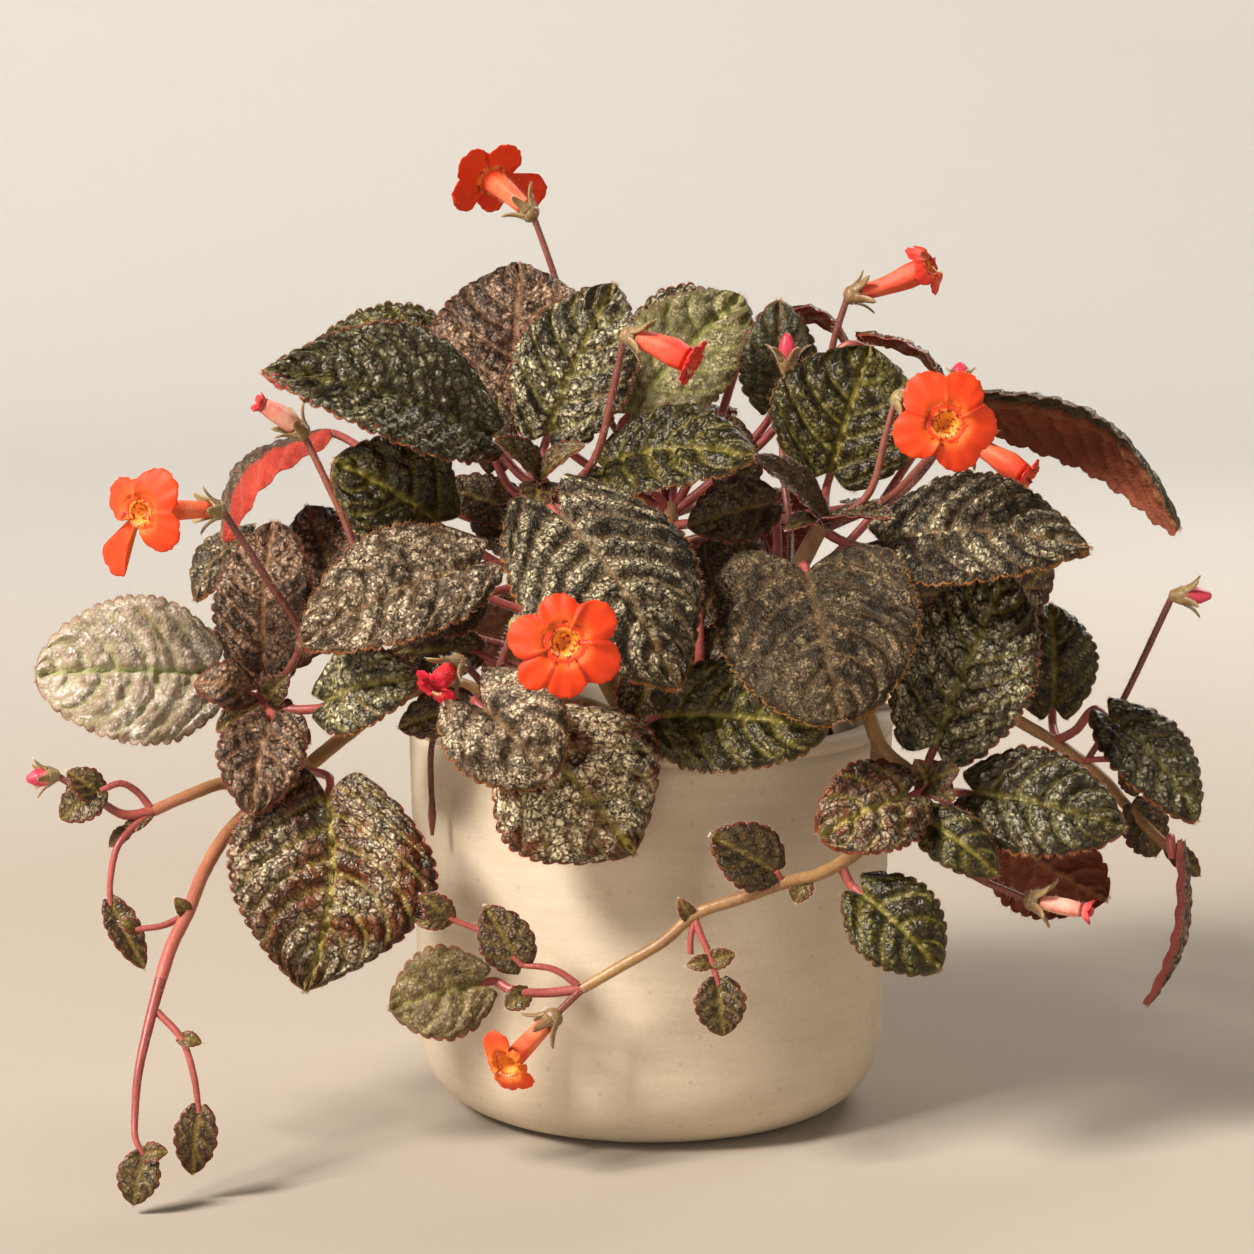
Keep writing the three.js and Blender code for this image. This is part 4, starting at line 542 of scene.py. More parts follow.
def ramp(value, low, high):
    return add("MapRange", value, low, high, clamp=True).outputs["Result"]


def maths(operation, *values):
    return add("Math", *values, operation=operation).outputs[0]


def times(first, second):
    return maths("MULTIPLY", first, second)


def timesPlus(first, second, third):
    return maths("MULTIPLY_ADD", first, second, third)


def mixed(factor, first, second):
    node = add("Mix", factor, data_type="RGBA")
    put(node.inputs[6], first)
    put(node.inputs[7], second)
    return node.outputs[2]


def colourWith(value):
    put(tree["shader"]["Base Color"], value)


def bumpWith(height, strength, depth):
    put(tree["shader"]["Normal"], add("Bump", Strength=strength, Distance=depth, Height=height).outputs[0])


def colour(code, shade=1.0):  # a screen colour such as "8a3b2c" as linear red, green, blue
    parts = [int(code[i:i + 2], 16) / 255 for i in (0, 2, 4)]
    linear = [p / 12.92 if p <= 0.04045 else ((p + 0.055) / 1.055) ** 2.4 for p in parts]
    return (*(shade * c for c in linear), 1.0)


# Leaf finishes. A look holds the colours of the dark ground, its clouds, the silver, the veins, the
# rim and the underside, then the numbers named here, then the shares of bands, patches and streaks
# in the silver. bare is how much silver the bare parts keep, crease a colour of its own for the
# creases, and turned the half (1 or -1) whose outer part has turned its underside up.
lookNumbers = ("gloss", "quilt", "fuzz", "beadScale", "pebbled", "silverShare", "veinShare", "netScale",
               "netDepth")


def leafLook(hues, *numbers, **more):
    look = dict(zip(("dark", "mid", "silver", "vein", "rim", "under"), hues.split()))
    look.update(zip((*lookNumbers, "pattern"), numbers))
    return {"bare": 0.3, "turned": 0, **look, **more}


leafLooks = {
    "glossBronze": leafLook("0f0a03 2e200a c6c096 847732 a8562a 8c3a35",
        0.34, 1.3, 0, 900, 0.3, 1.3, 0.5, 360, 0.9, (0.45, 0.35, 0.2)),
    "ribbedSilver": leafLook("110c04 2d200d d2c59c 948638 a8562a 8c3a35",
        0.34, 1.3, 0, 1000, 0.32, 1.6, 0.6, 380, 0.9, (0.8, 0.5, 0.3)),
    "bandedGrey": leafLook("130d07 2d2112 d4c29c a27e53 b5722f 7c3a34",
        0.42, 1.05, 0.5, 1350, 0.36, 1.7, 0.35, 480, 0.9, (1, 0.15, 0.2)),
    "fuzzyGrey": leafLook("23180e 4b3521 e6ceac a78056 b06a3a 7c3a34",
        0.52, 1, 0.6, 1300, 0.36, 2, 0.35, 480, 0.7, (0.35, 0.3, 0.7)),
    "fuzzyBrown": leafLook("120c06 2b2014 a98e6a 946f44 a9752e 7c3a34",
        0.55, 0.85, 0.6, 1350, 0.36, 1.25, 0.25, 520, 0.6, (0.2, 0.2, 0.75)),
    "purpleBronze": leafLook("190b07 3c1f14 cda887 a97d59 8f4030 7d2f35",
        0.42, 1.1, 0.3, 1000, 0.34, 1.3, 0.55, 420, 0.75, (0.2, 0.65, 0.35)),
    "silverGreen": leafLook("3c321a 5c4e2f c8ba90 989951 84513a 96564c",
        0.5, 0.75, 0.3, 1300, 0.28, 1.3, 0.7, 340, 0.5, (0.4, 0.6, 0.6), crease="6a6a34"),
    "silverPink": leafLook("7c6450 b09a84 e6ddd4 8c9650 8a4138 96564c",
        0.62, 0.8, 0.3, 1300, 0.28, 1.6, 0.8, 330, 0.5, (0.3, 0.75, 0.6), crease="86865a"),
    "olive": leafLook("0f0a02 2a2008 a89c50 948636 8a5c2a 6e3a2a",
        0.38, 1.15, 0.1, 1000, 0.32, 0.7, 0.6, 380, 0.9, (0.7, 0.35, 0.25)),
    "speckled": leafLook("2a1006 7a4322 ffeec4 a08f3f a03a26 8a2f28",
        0.28, 1.25, 0.1, 1150, 0.36, 2, 0.75, 380, 0.9, (0.3, 1.2, 0.3)),
    "redBronze": leafLook("260e05 6c3819 e2d8b4 a08f3f a03a26 8a2f28",
        0.31, 1.25, 0.1, 1150, 0.36, 1.5, 0.75, 360, 0.9, (0.1, 0.62, 0), bare=0),
    "twigBronze": leafLook("1a0d06 43281a ad9874 8d7636 93392a 8a2f28",
        0.36, 1.1, 0.1, 1200, 0.34, 0.95, 0.6, 520, 0.8, (0.2, 0.6, 0.2)),
    "tanFuzzy": leafLook("4a3822 6f5a3a b8a67c 8a8242 93392a 7c4a34",
        0.45, 1.1, 0.3, 1200, 0.34, 1.1, 0.5, 460, 0.45, (0.3, 0.5, 0.4)),
    "coralUnder": leafLook("31281d 4d4030 a2937f a7715a 9a4a3c b23a2c",
        0.5, 0.7, 0.4, 1200, 0.3, 0.8, 0.3, 460, 0.5, (0.3, 0.3, 0.5), turned=-1),
    "brownUnder": leafLook("12130a 302f1a a39f74 8f6c41 7f4a2a 7a3a26",
        0.45, 0.9, 0.2, 1000, 0.35, 0.8, 0.4, 420, 0.6, (0.4, 0.4, 0.3)),
}
leafLooks["redTurned"] = {**leafLooks["purpleBronze"], "turned": 1, "under": "a24a44"}
leafSkin = dict(speckle=900.0, cloud=110.0, netBend=420.0, netShift=0.0016, bumpDepth=0.0005,
                rimShare=0.65, underShade=0.55, creaseShade=0.3, tint=(1.0, 0.9, 0.74, 1.0))
stemSkin = dict(cloud=60.0, fleck=1100.0, bump=0.4, bumpDepth=0.0003, gloss=0.42, lowFrom=0.0, lowTo=-0.05)


def leafFinish(name, look):
    material = newFinish(name, {"Specular IOR Level": 0.4 - 0.3 * look["fuzz"],
                                "Specular Tint": leafSkin["tint"],
                                "Sheen Weight": 0.03 * look["fuzz"], "Sheen Roughness": 0.4})
    place = objectPlace()
    silver, rim, vein, under = paintMasks()
    speckle = noise(place, leafSkin["speckle"], 3.0, 0.7)
    cloud = noise(place, leafSkin["cloud"], 3.0)
    bends = add("TexNoise", Vector=place, Scale=leafSkin["netBend"], Detail=0.0).outputs["Color"]
    shifted = add("VectorMath", bends, (leafSkin["netShift"],) * 3, place, operation="MULTIPLY_ADD")
    net = add("TexVoronoi", feature="DISTANCE_TO_EDGE", Vector=shifted.outputs[0], Scale=look["netScale"])
    cellTop = ramp(net.outputs["Distance"], 0.01, 0.15)  # 0 in the creases between the cells
    crease = timesPlus(cellTop, -look["netDepth"], look["netDepth"])
    beads = add("TexVoronoi", Vector=place, Scale=look["beadScale"])
    domes = ramp(maths("SUBTRACT", 0.62, beads.outputs["Distance"]), 0.0, 0.42)
    base = mixed(ramp(cloud, 0.35, 0.7), colour(look["dark"]), colour(look["mid"]))
    # Painted shade: the creases between the cells darken to three tenths of the dark ground, except in the
    # looks that give the creases a colour of their own, the green vein net of the pale leaves.
    base = mixed(crease, base, colour(look["crease"]) if "crease" in look else
                 colour(look["dark"], leafSkin["creaseShade"]))
    flecks = times(silver, ramp(speckle, 0.38, 0.54))
    # Painted shade: the silver flecks leave the creases and thin in the walls between the beads.
    flecks = times(flecks, maths("SUBTRACT", 1.0, crease))
    flecks = times(times(flecks, timesPlus(domes, 0.75, 0.25)), look["silverShare"])
    top = mixed(flecks, base, colour(look["silver"]))
    top = mixed(times(vein, look["veinShare"]), top, colour(look["vein"]))
    top = mixed(times(times(rim, ramp(speckle, 0.34, 0.56)), leafSkin["rimShare"]), top, colour(look["rim"]))
    shaded = colour(look["under"], leafSkin["underShade"])
    below = mixed(ramp(cloud, 0.3, 0.75), colour(look["under"]), shaded)
    below = mixed(times(vein, 0.4), below, colour(look["vein"]))
    colourWith(mixed(under, top, below))
    rough = timesPlus(under, 0.2, timesPlus(speckle, 0.25, look["gloss"] - 0.1))
    put(tree["shader"]["Roughness"], rough)
    bumpWith(timesPlus(domes, 0.7, times(crease, -1.0)), look["pebbled"], leafSkin["bumpDepth"])
    return material


def stemFinish(name, light, dark, tip=None, low=None):
    material = newFinish(name, {"Roughness": stemSkin["gloss"], "Subsurface Weight": 0.15,
                                "Subsurface Radius": (0.003, 0.0012, 0.0008), "Subsurface Scale": 0.5})
    place = objectPlace()
    cloud = noise(place, stemSkin["cloud"])
    fleck = noise(place, stemSkin["fleck"], 2.0)
    tone = timesPlus(fleck, 0.35, times(cloud, 0.8))
    skin = mixed(ramp(tone, 0.38, 0.78), colour(light), colour(dark))
    if tip:
        skin = mixed(paintMasks()[0], skin, colour(tip))
    if low:  # the part that hangs low on the left turns to this colour
        x, y, z = add("SeparateXYZ", place).outputs
        turning = maths("ADD", timesPlus(cloud, 0.02, z), x)
        skin = mixed(ramp(turning, stemSkin["lowFrom"], stemSkin["lowTo"]), skin, colour(low))
    colourWith(skin)
    bumpWith(fleck, stemSkin["bump"], stemSkin["bumpDepth"])
    return material


hairFinish = newFinish("whiteHair", {"Base Color": colour("e6d8c8"), "Roughness": 0.45})
rimHairFinish = newFinish("rimHair", {"Base Color": colour("b98a68"), "Roughness": 0.5})
fringeFinish = newFinish("throatFringe", {"Base Color": colour("f7d9a0"), "Roughness": 0.45})
leafFinishes = {look: leafFinish(look + "Leaf", values) for look, values in leafLooks.items()}
stemFinishes = [
    stemFinish("stolonSkin", "a8834e", "7c5238", low="b45a50"),
    stemFinish("stalkSkin", "b45a50", "7c322c"),
    stemFinish("flowerStalkSkin", "8c4a3a", "54261e"),
    stemFinish("calyxSkin", "a3935c", "74452f", tip="c4354a"),
]
stolonSkin, stalkSkin, flowerStalkSkin, calyxSkin, twigLeafSkin, stemHairSkin = range(6)
print("finishes for leaves and stems made")

# The leaf blade: lengths in mm, and shares of the leaf's size, breadth or vein spacing
blade = dict(thickness=0.5, veinSpacing=6.6, veinSweep=0.72, ribGroove=1.0, quiltHeight=1.35,
             pebbleSize=2.7, pebbleHeight=0.95, toothLength=2.5, toothDepth=0.9, rimHair=0.9,
             rimHairRadius=0.032, fuzzHair=0.35, fuzzRadius=0.035, fuzzPerArea=0.84, rowsPerTooth=4,
             hiddenRowsPerTooth=3, mostStrips=56, hiddenStrips=36, stripCrowding=1.35, veinWander=0.24,
             veinWidth=0.20, edgeWave=0.5, edgeDrop=0.6, tipPower=dict(blunt=0.5, round=0.62, pointed=0.8))
leafDefaults = dict(arch=4, fold=8, curl=-1, notch=3, sway=0, look="olive", tipShape="round",
                    lopsided=0, folded=0, hidden=False)
twigLeafDefaults = {**leafDefaults, "arch": 1, "fold": 10, "curl": 0, "notch": 1, "look": "twigBronze"}


def leafHalf(share, power):
    return 0.5 * np.sin(np.pi * (0.05 + 0.945 * share) ** 0.78) ** power


def bellOf(distance, width):  # 1 at no distance and next to nothing past twice the width
    return np.exp(-((distance / width) ** 2))


def addBlade(form, leaf, seed, finish, hairSkin):
    look = leafLooks[leaf["look"]]
    base, tip, face = spot(leaf["base"]), spot(leaf["tip"]), heading(leaf["face"])
    along = tip - base
    length = np.linalg.norm(along)
    along = along / length
    across = unit(np.cross(along, face))
    up = unit(np.cross(across, along))
    wide, fold, hidden = leaf["wide"], math.radians(leaf["fold"]), leaf["hidden"]
    small = wide < 12
    size = min(1.0, wide / 30)
    half = 0.5 + 0.5 * size  # sizes that shrink only half as much as the leaf does
    teeth = max(5, round(length / blade["toothLength"] * (1.0 if wide > 18 else 0.8)))
    rows = blade["hiddenRowsPerTooth" if small or hidden else "rowsPerTooth"] * teeth
    strips = min(blade["hiddenStrips" if hidden else "mostStrips"], max(10, 2 * round(wide * 0.7)))
    share = np.linspace(0, 1, rows + 1)[:, None]
    k = np.linspace(-1, 1, strips + 1)[None, :]
    side = np.sin(k * blade["stripCrowding"]) / math.sin(blade["stripCrowding"])
    out = np.abs(side)
    shoulder = min(0.45, max(-0.2, 0.06 * leaf["notch"] - 0.36))
    breadth = wide * leafHalf(share, blade["tipPower"][leaf["tipShape"]]) * (1 + shoulder * (1 - share) ** 8)
    # Outline with rounded teeth
    step = teeth * share
    bulge = np.sqrt(np.abs(np.sin(np.pi * step))) * (0.75 + 0.5 * hashed(np.floor(step), side > 0, seed))
    toothDepth = blade["toothDepth"] * (0.45 + 0.55 * size)
    tooth = toothDepth * (bulge - 0.55) * smooth(0.8, 1, out) * smooth(0, 5, breadth)
    # Lateral veins sweep forward to the edge
    laterals = max(4, round(length / (blade["veinSpacing"] * (0.55 + 0.45 * size))))
    spacing = length / laterals
    sweep = blade["veinSweep"] * 0.5 * wide / length
    x = share * length
    y = side * breadth
    wander = blade["veinWander"] * (ripple(x / 8, y / 8 + 20, seed) - 0.5)
    phase = laterals * (share - sweep * out ** 1.5) + 0.5 * (side > 0) + wander + 0.3
    fromVein = np.abs(phase - np.round(phase)) * spacing
    pillow = 1 - np.exp(-((fromVein / (blade["veinWidth"] * spacing)) ** 1.6))
    pebble = blade["pebbleSize"] * half
    walls = pebbles(phase * spacing / pebble, y / pebble * 0.8 + 40, seed)
    dome = smooth(0, 0.7, walls)
    fromRib = np.abs(y)
    rib = bellOf(fromRib, 0.55 + 0.5 * size)
    fromEdge = (1 - out) * breadth + 0 * share
    inside = smooth(0, 2.2, fromEdge) * smooth(0, 0.05, share + 0 * side)
    quilt = look["quilt"] * size
    relief = quilt * inside * (blade["quiltHeight"] * (pillow - 0.45) + blade["pebbleHeight"] * (dome - 0.4))
    relief = relief - blade["ribGroove"] * size * rib * smooth(0, 0.06, 1 - share)
    edgeWave = blade["edgeWave"] * size * np.sin(2 * np.pi * (phase + 0.25)) * smooth(0.72, 1, out)
    relief = relief + edgeWave - blade["edgeDrop"] * size * smooth(0.86, 1, out)
    # The same sheet as the part's blade, with the relief on it
    lobeShare = 1.3 if leaf["notch"] < 5 else min(1.0, 10 / leaf["notch"])
    lobeShare = lobeShare * (1 - leaf["lopsided"] * (side < 0))
    lobe = lobeShare * leaf["notch"] * (1 - share) ** 5 * np.sin(np.pi * np.minimum(1, out * 0.68))
    rise = leaf["arch"] * np.sin(np.pi * share) + breadth * out * math.sin(fold) + leaf["curl"] * out ** 3
    sway = leaf["sway"] * np.sin(np.pi * share)
    lateral = sway + (y + np.sign(side) * tooth) * math.cos(fold)
    advance = share * length - lobe
    middle = (base + advance[..., None] * along + lateral[..., None] * across
              + (rise + relief)[..., None] * up)
    normal = up * math.cos(fold) - across * np.sign(side)[..., None] * math.sin(fold)
    thick = blade["thickness"] * (0.45 + 0.55 * size) * (1 - 0.55 * out ** 3) * np.ones_like(x)
    upper = middle + normal * thick[..., None] / 2
    lower = middle - normal * thick[..., None] / 2
    # Masks: silver in bands, patches and streaks along the veins, the rim, the veins and what shows
    # its underside
    blotch = ripple(x / 6 + 9, y / 6, seed + 3)
    fine = ripple(x / 1.6, y / 1.6 + 5, seed + 11)
    streak = ripple(phase * 5 + 4, y / 5, seed + 7)
    broad = ripple(x / 13 + 2, y / 11 + 7, seed + 17)
    beyond = phase - np.floor(phase)
    band = smooth(0.02, 0.16, beyond) * (1 - smooth(0.38, 0.62, beyond))
    band = band * smooth(0.28, 0.58, 0.6 * blotch + 0.4 * fine)
    bare = look["bare"] + (1 - look["bare"]) * smooth(0.3, 0.55, broad)
    patch = smooth(0.36, 0.6, 0.5 * blotch + 0.3 * fine + 0.2 * (1 - dome)) * bare
    lines = smooth(0.4, 0.7, 0.6 * streak + 0.4 * fine)
    bands, patches, streaks = look["pattern"]
    # Painted shade: the silver thins to less than half in the walls between the pebbles and stays full on
    # their tops.
    paintedWallShade = 0.4 + 0.6 * smooth(0.03, 0.4, walls)
    silver = np.clip(paintedWallShade * (bands * band + streaks * lines) + (0.3 + 0.7 * paintedWallShade) * patches * patch, 0, 1)
    silver = np.maximum(silver, 0.75 * bellOf(fromRib, 2.0 * size) * smooth(0.3, 0.6, fine))
    silver = silver * smooth(0, 1.6, fromEdge) * (1 - 0.6 * rib)
    edge = 1 - smooth(0.1, 0.6, fromEdge)
    veins = np.maximum(bellOf(fromRib, 0.42 + 0.25 * size),
                       0.7 * bellOf(fromVein, 0.4) * (1 - smooth(0.8, 1, out)))
    turned = np.clip((out - 0.36) * 8, 0, 1) * (look["turned"] * side > 0)
    folded = 1 - 0.95 * np.clip((out - 0.1) * 6, 0, 1) * (leaf["folded"] * side > 0)
    paints = masked(silver, edge, veins, turned), masked(0.5 * silver, edge, veins, folded)
    rim = addSheet(form, upper, lower, finish, paints)
    # Hairs round the rim
    edgePoints = middle.reshape(-1, 3)[rim]
    count = len(rim)
    ways = units(edgePoints - middle[rows // 2, strips // 2])
    for layer in range(2):
        shift = random.random((count, 1))
        roots = edgePoints * shift + np.roll(edgePoints, -1, axis=0) * (1 - shift)
        tilt = ways + 0.7 * (random.random((count, 3)) - 0.5) + 0.2 * along
        addHairs(form, roots, tilt, blade["rimHair"] * half * (0.5 + random.random(count)),
                 blade["rimHairRadius"], hairSkin)
    # Fuzz on the upper face
    if look["fuzz"] > 0 and not small:
        many = int(blade["fuzzPerArea"] * look["fuzz"] * length * wide)
        i = random.integers(1, rows, many)
        j = random.integers(1, strips, many)
        shift = random.random((many, 1))
        roots = upper[i, j] * shift + upper[i - 1, j - 1] * (1 - shift)
        tilt = up[None, :] + 0.9 * (random.random((many, 3)) - 0.5)
        addHairs(form, roots, tilt, blade["fuzzHair"] + 0.5 * random.random(many), blade["fuzzRadius"],
                 hairSkin)


for number, (name, row) in enumerate(leafRows.items()):
    leaf = {**leafDefaults, **row}
    form = newForm()
    addBlade(form, leaf, number * 3.7 + 1, 0, 1)
    piece = formObject(form, name.replace("_", "") + "Blade", [leafFinishes[leaf["look"]], rimHairFinish])
    finishPiece(piece, name)
print("large leaves made:", len(leafRows))

# Stems, stalks, small twig leaves, calyces and closed buds
stem = dict(step=1.8, sides=12, hairsPerMm=5.4, hairLength=1.3, hairRadius=0.035, bump=0.07,
            hairsOnRunner=0.35, hairsOnLeafStalk=0.55, runnerFrom=1.6, bareFrom=5,
            leafStalk=(1.25, 1.0), flowerStalk=(1.02, 0.85), budStalk=(0.85, 0.85))
calyx = dict(length=3.4, radius=2.3, rings=9, sides=24, sepals=5, sepalLength=6.0, sepalRadius=0.75,
             sepalFlare=0.75, sepalHalfThickness=0.18, sepalUp=1.9, sepalOut=1.85, hairs=90,
             edgeHairRadius=0.03)
closedBud = dict(rings=16, sides=25, radii=(1.2, 2.4, 1.9, 0.75), radiiAt=(0, 0.3, 0.75, 1), sepalUp=0.35,
                 sepalOut=2.0)


def smoothRoute(places, ends):  # a centripetal Catmull-Rom curve sampled about every step
    places = [np.asarray(p, float) for p in places]
    padded = [2 * places[0] - places[1]] + places + [2 * places[-1] - places[-2]]
    reaches = [np.linalg.norm(b - a) for a, b in zip(places, places[1:])]
    track, radii, gone = [], [], 0.0
    for i, reach in enumerate(reaches):
        corners = padded[i:i + 4]
        t = [0.0]
        for p, q in zip(corners, corners[1:]):
            t.append(t[-1] + max(1e-6, np.linalg.norm(q - p) ** 0.5))
        count = max(2, int(math.ceil(reach / stem["step"])))
        for k in range(count + (i == len(reaches) - 1)):
            u = t[1] + (t[2] - t[1]) * k / count

            def between(first, second, a, b):
                return first * (t[b] - u) / (t[b] - t[a]) + second * (u - t[a]) / (t[b] - t[a])

            ab, bc, cd = (between(corners[n], corners[n + 1], n, n + 1) for n in range(3))
            track.append(between(between(ab, bc, 0, 2), between(bc, cd, 1, 3), 1, 2))
            part = (gone + reach * k / count) / sum(reaches)
            radii.append(np.interp(part, np.linspace(0, 1, len(ends)), ends))
        gone += reach
    return np.array(track), np.array(radii)


def addTube(curve, form, places, ends, skin, hairs=1.0):
    track, radii = smoothRoute(places, ends)
    radii = radii * (1 + stem["bump"] * (random.random(len(radii)) - 0.5))
    spline = curve.splines.new("POLY")
    spline.points.add(len(track) - 1)
    spline.points.foreach_set("co", np.column_stack([track * mm, np.ones(len(track))]).ravel())
    spline.points.foreach_set("radius", radii)
    spline.material_index = skin
    spline.use_smooth = True
    length = np.linalg.norm(np.diff(track, axis=0), axis=1).sum()
    count = int(length * stem["hairsPerMm"] * hairs)
    if count < 3:
        return
    place = random.random(count) * (len(track) - 1.001)
    i = place.astype(int)
    u = (place - i)[:, None]
    middle = track[i] * (1 - u) + track[i + 1] * u
    way = units(track[i + 1] - track[i])
    spin = random.normal(size=(count, 3))
    spin -= way * (spin * way).sum(1)[:, None]
    spin = units(spin)
    roots = middle + spin * (radii[i] * 0.85)[:, None]
    ways = spin + 0.25 * random.normal(size=(count, 3))
    lengths = stem["hairLength"] * (0.5 + 0.8 * random.random(count))
    addHairs(form, roots, ways, lengths, stem["hairRadius"], stemHairSkin)


def sideways(axis):  # two directions square to the axis
    side = unit(np.cross(axis, [0.31, 0.17, 0.93]))
    return side, np.cross(axis, side)


def ringWay(side, other, angle):
    return side * np.cos(angle)[..., None] + other * np.sin(angle)[..., None]


def addSepals(form, foot, axis, outShift, size):
    side, other = sideways(axis)
    for n in range(calyx["sepals"]):
        turn = fullTurn * (n + 0.5) / calyx["sepals"]
        outward = side * math.cos(turn) + other * math.sin(turn)
        addSepal(form, foot + outward * outShift, axis, outward, size)


def addSepal(form, root, axis, outward, size):
    steps, strips = 9, 4
    share = np.linspace(0, 1, steps + 1)
    # The sepal leans out and its point hooks back a little
    lean = calyx["sepalFlare"] * (0.5 + 1.1 * share)
    path = [np.array(root)]
    for k in range(steps):
        way = axis * math.cos(lean[k]) + outward * math.sin(lean[k])
        path.append(path[-1] + way * (calyx["sepalLength"] * size) / steps)
    path = np.array(path)
    face = outward[None, :] * np.cos(lean)[:, None] - axis[None, :] * np.sin(lean)[:, None]
    half = calyx["sepalRadius"] * size * 1.5 * np.sqrt(np.maximum(0.0, 1 - share ** 1.6)) + 0.06
    k = np.linspace(-1, 1, strips + 1)
    across = unit(np.cross(axis, outward))[None, None, :] * (half[:, None] * k[None, :])[..., None]
    keel = (0.35 * (1 - k ** 2))[None, :] * half[:, None]
    thin = calyx["sepalHalfThickness"]
    upper = path[:, None, :] + across + face[:, None, :] * (keel + thin)[..., None]
    lower = path[:, None, :] + across - face[:, None, :] * (thin - 0.6 * keel)[..., None]
    edge = upper.reshape(-1, 3)[addSheet(form, upper, lower, calyxSkin, turned=True)]
    ways = units(edge - path[steps // 2])
    addHairs(form, edge, ways + 0.3 * random.normal(size=edge.shape), 0.5 + 0.7 * random.random(len(edge)),
             calyx["edgeHairRadius"], stemHairSkin)


def addCalyx(form, seat, axis):
    side, other = sideways(axis)
    long, wide = calyx["length"], calyx["radius"]
    share = np.linspace(0, 1, calyx["rings"])[:, None]
    angle = np.linspace(0, 2 * np.pi, calyx["sides"], endpoint=False)[None, :]
    ribbed = 1 + 0.06 * np.cos(10 * angle) * np.sin(np.pi * share)
    radius = wide * np.minimum(1, 0.35 + 1.05 * np.sqrt(share)) * ribbed
    height = -0.4 + (long + 0.4) * share + 0 * angle
    rings = seat + axis * height[..., None] + radius[..., None] * ringWay(side, other, angle)
    addLoft(form, rings, seat - axis * 0.5, seat + axis * (long - 0.3), calyxSkin)
    addSepals(form, seat + axis * calyx["sepalUp"], axis, calyx["sepalOut"], 1.0)
    count = calyx["hairs"]
    angles = random.random(count) * 2 * math.pi
    ups = random.random(count) * 0.9
    outward = ringWay(side, other, angles)
    reach = wide * np.minimum(1, 0.35 + 1.05 * np.sqrt(ups))
    roots = seat + axis * (long * ups)[:, None] + outward * reach[:, None]
    addHairs(form, roots, outward + 0.3 * random.normal(size=(count, 3)), 0.6 + 0.9 * random.random(count),
             stem["hairRadius"], stemHairSkin)


def addClosedBud(form, seat, tip):
    axis = unit(tip - seat)
    length = np.linalg.norm(tip - seat)
    share = np.linspace(0, 1, closedBud["rings"])[:, None]
    angle = np.linspace(0, 2 * np.pi, closedBud["sides"], endpoint=False)[None, :]
    radius = np.interp(share, closedBud["radiiAt"], closedBud["radii"])
    radius = radius * (1 + 0.07 * np.cos(5 * angle + 3 * share))
    rings = (seat + axis * (length * share + 0 * angle)[..., None]
             + radius[..., None] * ringWay(*sideways(axis), angle))
    pink = np.zeros((rings[..., 0].size + 2, 4))
    pink[:-2, 0] = np.repeat(smooth(0.3, 0.6, share[:, 0]), closedBud["sides"])
    pink[-1, 0] = 1
    addLoft(form, rings, seat - axis * 0.4, tip + axis * 0.25, calyxSkin, pink)
    addSepals(form, seat + axis * length * closedBud["sepalUp"], axis, closedBud["sepalOut"],
              min(0.85, length / 11))


def flowerSeat(flower):
    seat, throat, face = spot(flower["calyx"]), spot(flower["throat"]), heading(flower["face"])
    bend = throat - face * 0.45 * np.linalg.norm(seat - throat)
    return seat, throat, face, bend, unit(bend - seat)


def leafStalk(leaf):
    base, tip, face = spot(leaf["base"]), spot(leaf["tip"]), heading(leaf["face"])
    along = unit(tip - base)
    up = unit(face - along * np.dot(face, along))
    start = spot(leaf["start"])
    end = base - up * 1.75 + along
    neck = end - along * 5 - up * 1.5
    hanging = (start + neck) / 2 + [0, 0, -0.06 * np.linalg.norm(start - neck)]
    return [start, *([spot(p) for p in leaf["via"]] if "via" in leaf else [hanging]), neck, end]


def stemPiece(system):
    curve = bpy.data.curves.new(system + "Stems", "CURVE")
    curve.dimensions = "3D"
    curve.bevel_depth = mm
    curve.bevel_resolution = (stem["sides"] - 4) // 4
    curve.use_fill_caps = True
    for finish in stemFinishes:
        curve.materials.append(finish)
    form = newForm()
    for radii, route, *withered in stemRows[system]:
        skin = flowerStalkSkin if withered else stolonSkin if radii[0] > stem["runnerFrom"] else stalkSkin
        hairs = 0 if radii[0] > stem["bareFrom"] else stem["hairsOnRunner"]
        addTube(curve, form, [spot(p) for p in route], radii, skin, hairs)
    for leaf in leafRows.values():
        if leaf["grower"] == system:
            addTube(curve, form, leafStalk(leaf), stem["leafStalk"], stalkSkin, stem["hairsOnLeafStalk"])
    for flower in flowerRows.values():
        if flower["grower"] == system:
            seat, throat, face, bend, axis = flowerSeat(flower)
            route = [spot(p) for p in flower["stalk"]] + [seat + axis * 0.6]
            addTube(curve, form, route, stem["flowerStalk"], flowerStalkSkin)
            addCalyx(form, seat, axis)
    for bud in closedBudRows:
        if bud["grower"] == system:
            seat, tip = spot(bud["seat"]), spot(bud["tip"])
            route = [spot(p) for p in bud["stalk"]] + [seat + unit(tip - seat) * 0.6]
            addTube(curve, form, route, stem["budStalk"], flowerStalkSkin)
            addClosedBud(form, seat, tip)
    for number, leaf in enumerate(twigLeafRows[system]):
        addBlade(form, {**twigLeafDefaults, **leaf}, number * 5.1 + 2, twigLeafSkin, stemHairSkin)
    shoots = placed(system + "Shoots", curve)
    selectOnly(shoots)
    bpy.ops.object.convert(target="MESH")
    details = formObject(form, system + "Details", stemFinishes + [leafFinishes["twigBronze"], hairFinish])
    selectOnly(shoots, details)
    bpy.ops.object.join()
    details.name = system.replace("_r", "R").replace("_l", "L") + "Growth"
    finishPiece(details, system)


for system in stemRows:
    stemPiece(system)
print("stems, stalks, calyces and twig leaves made")

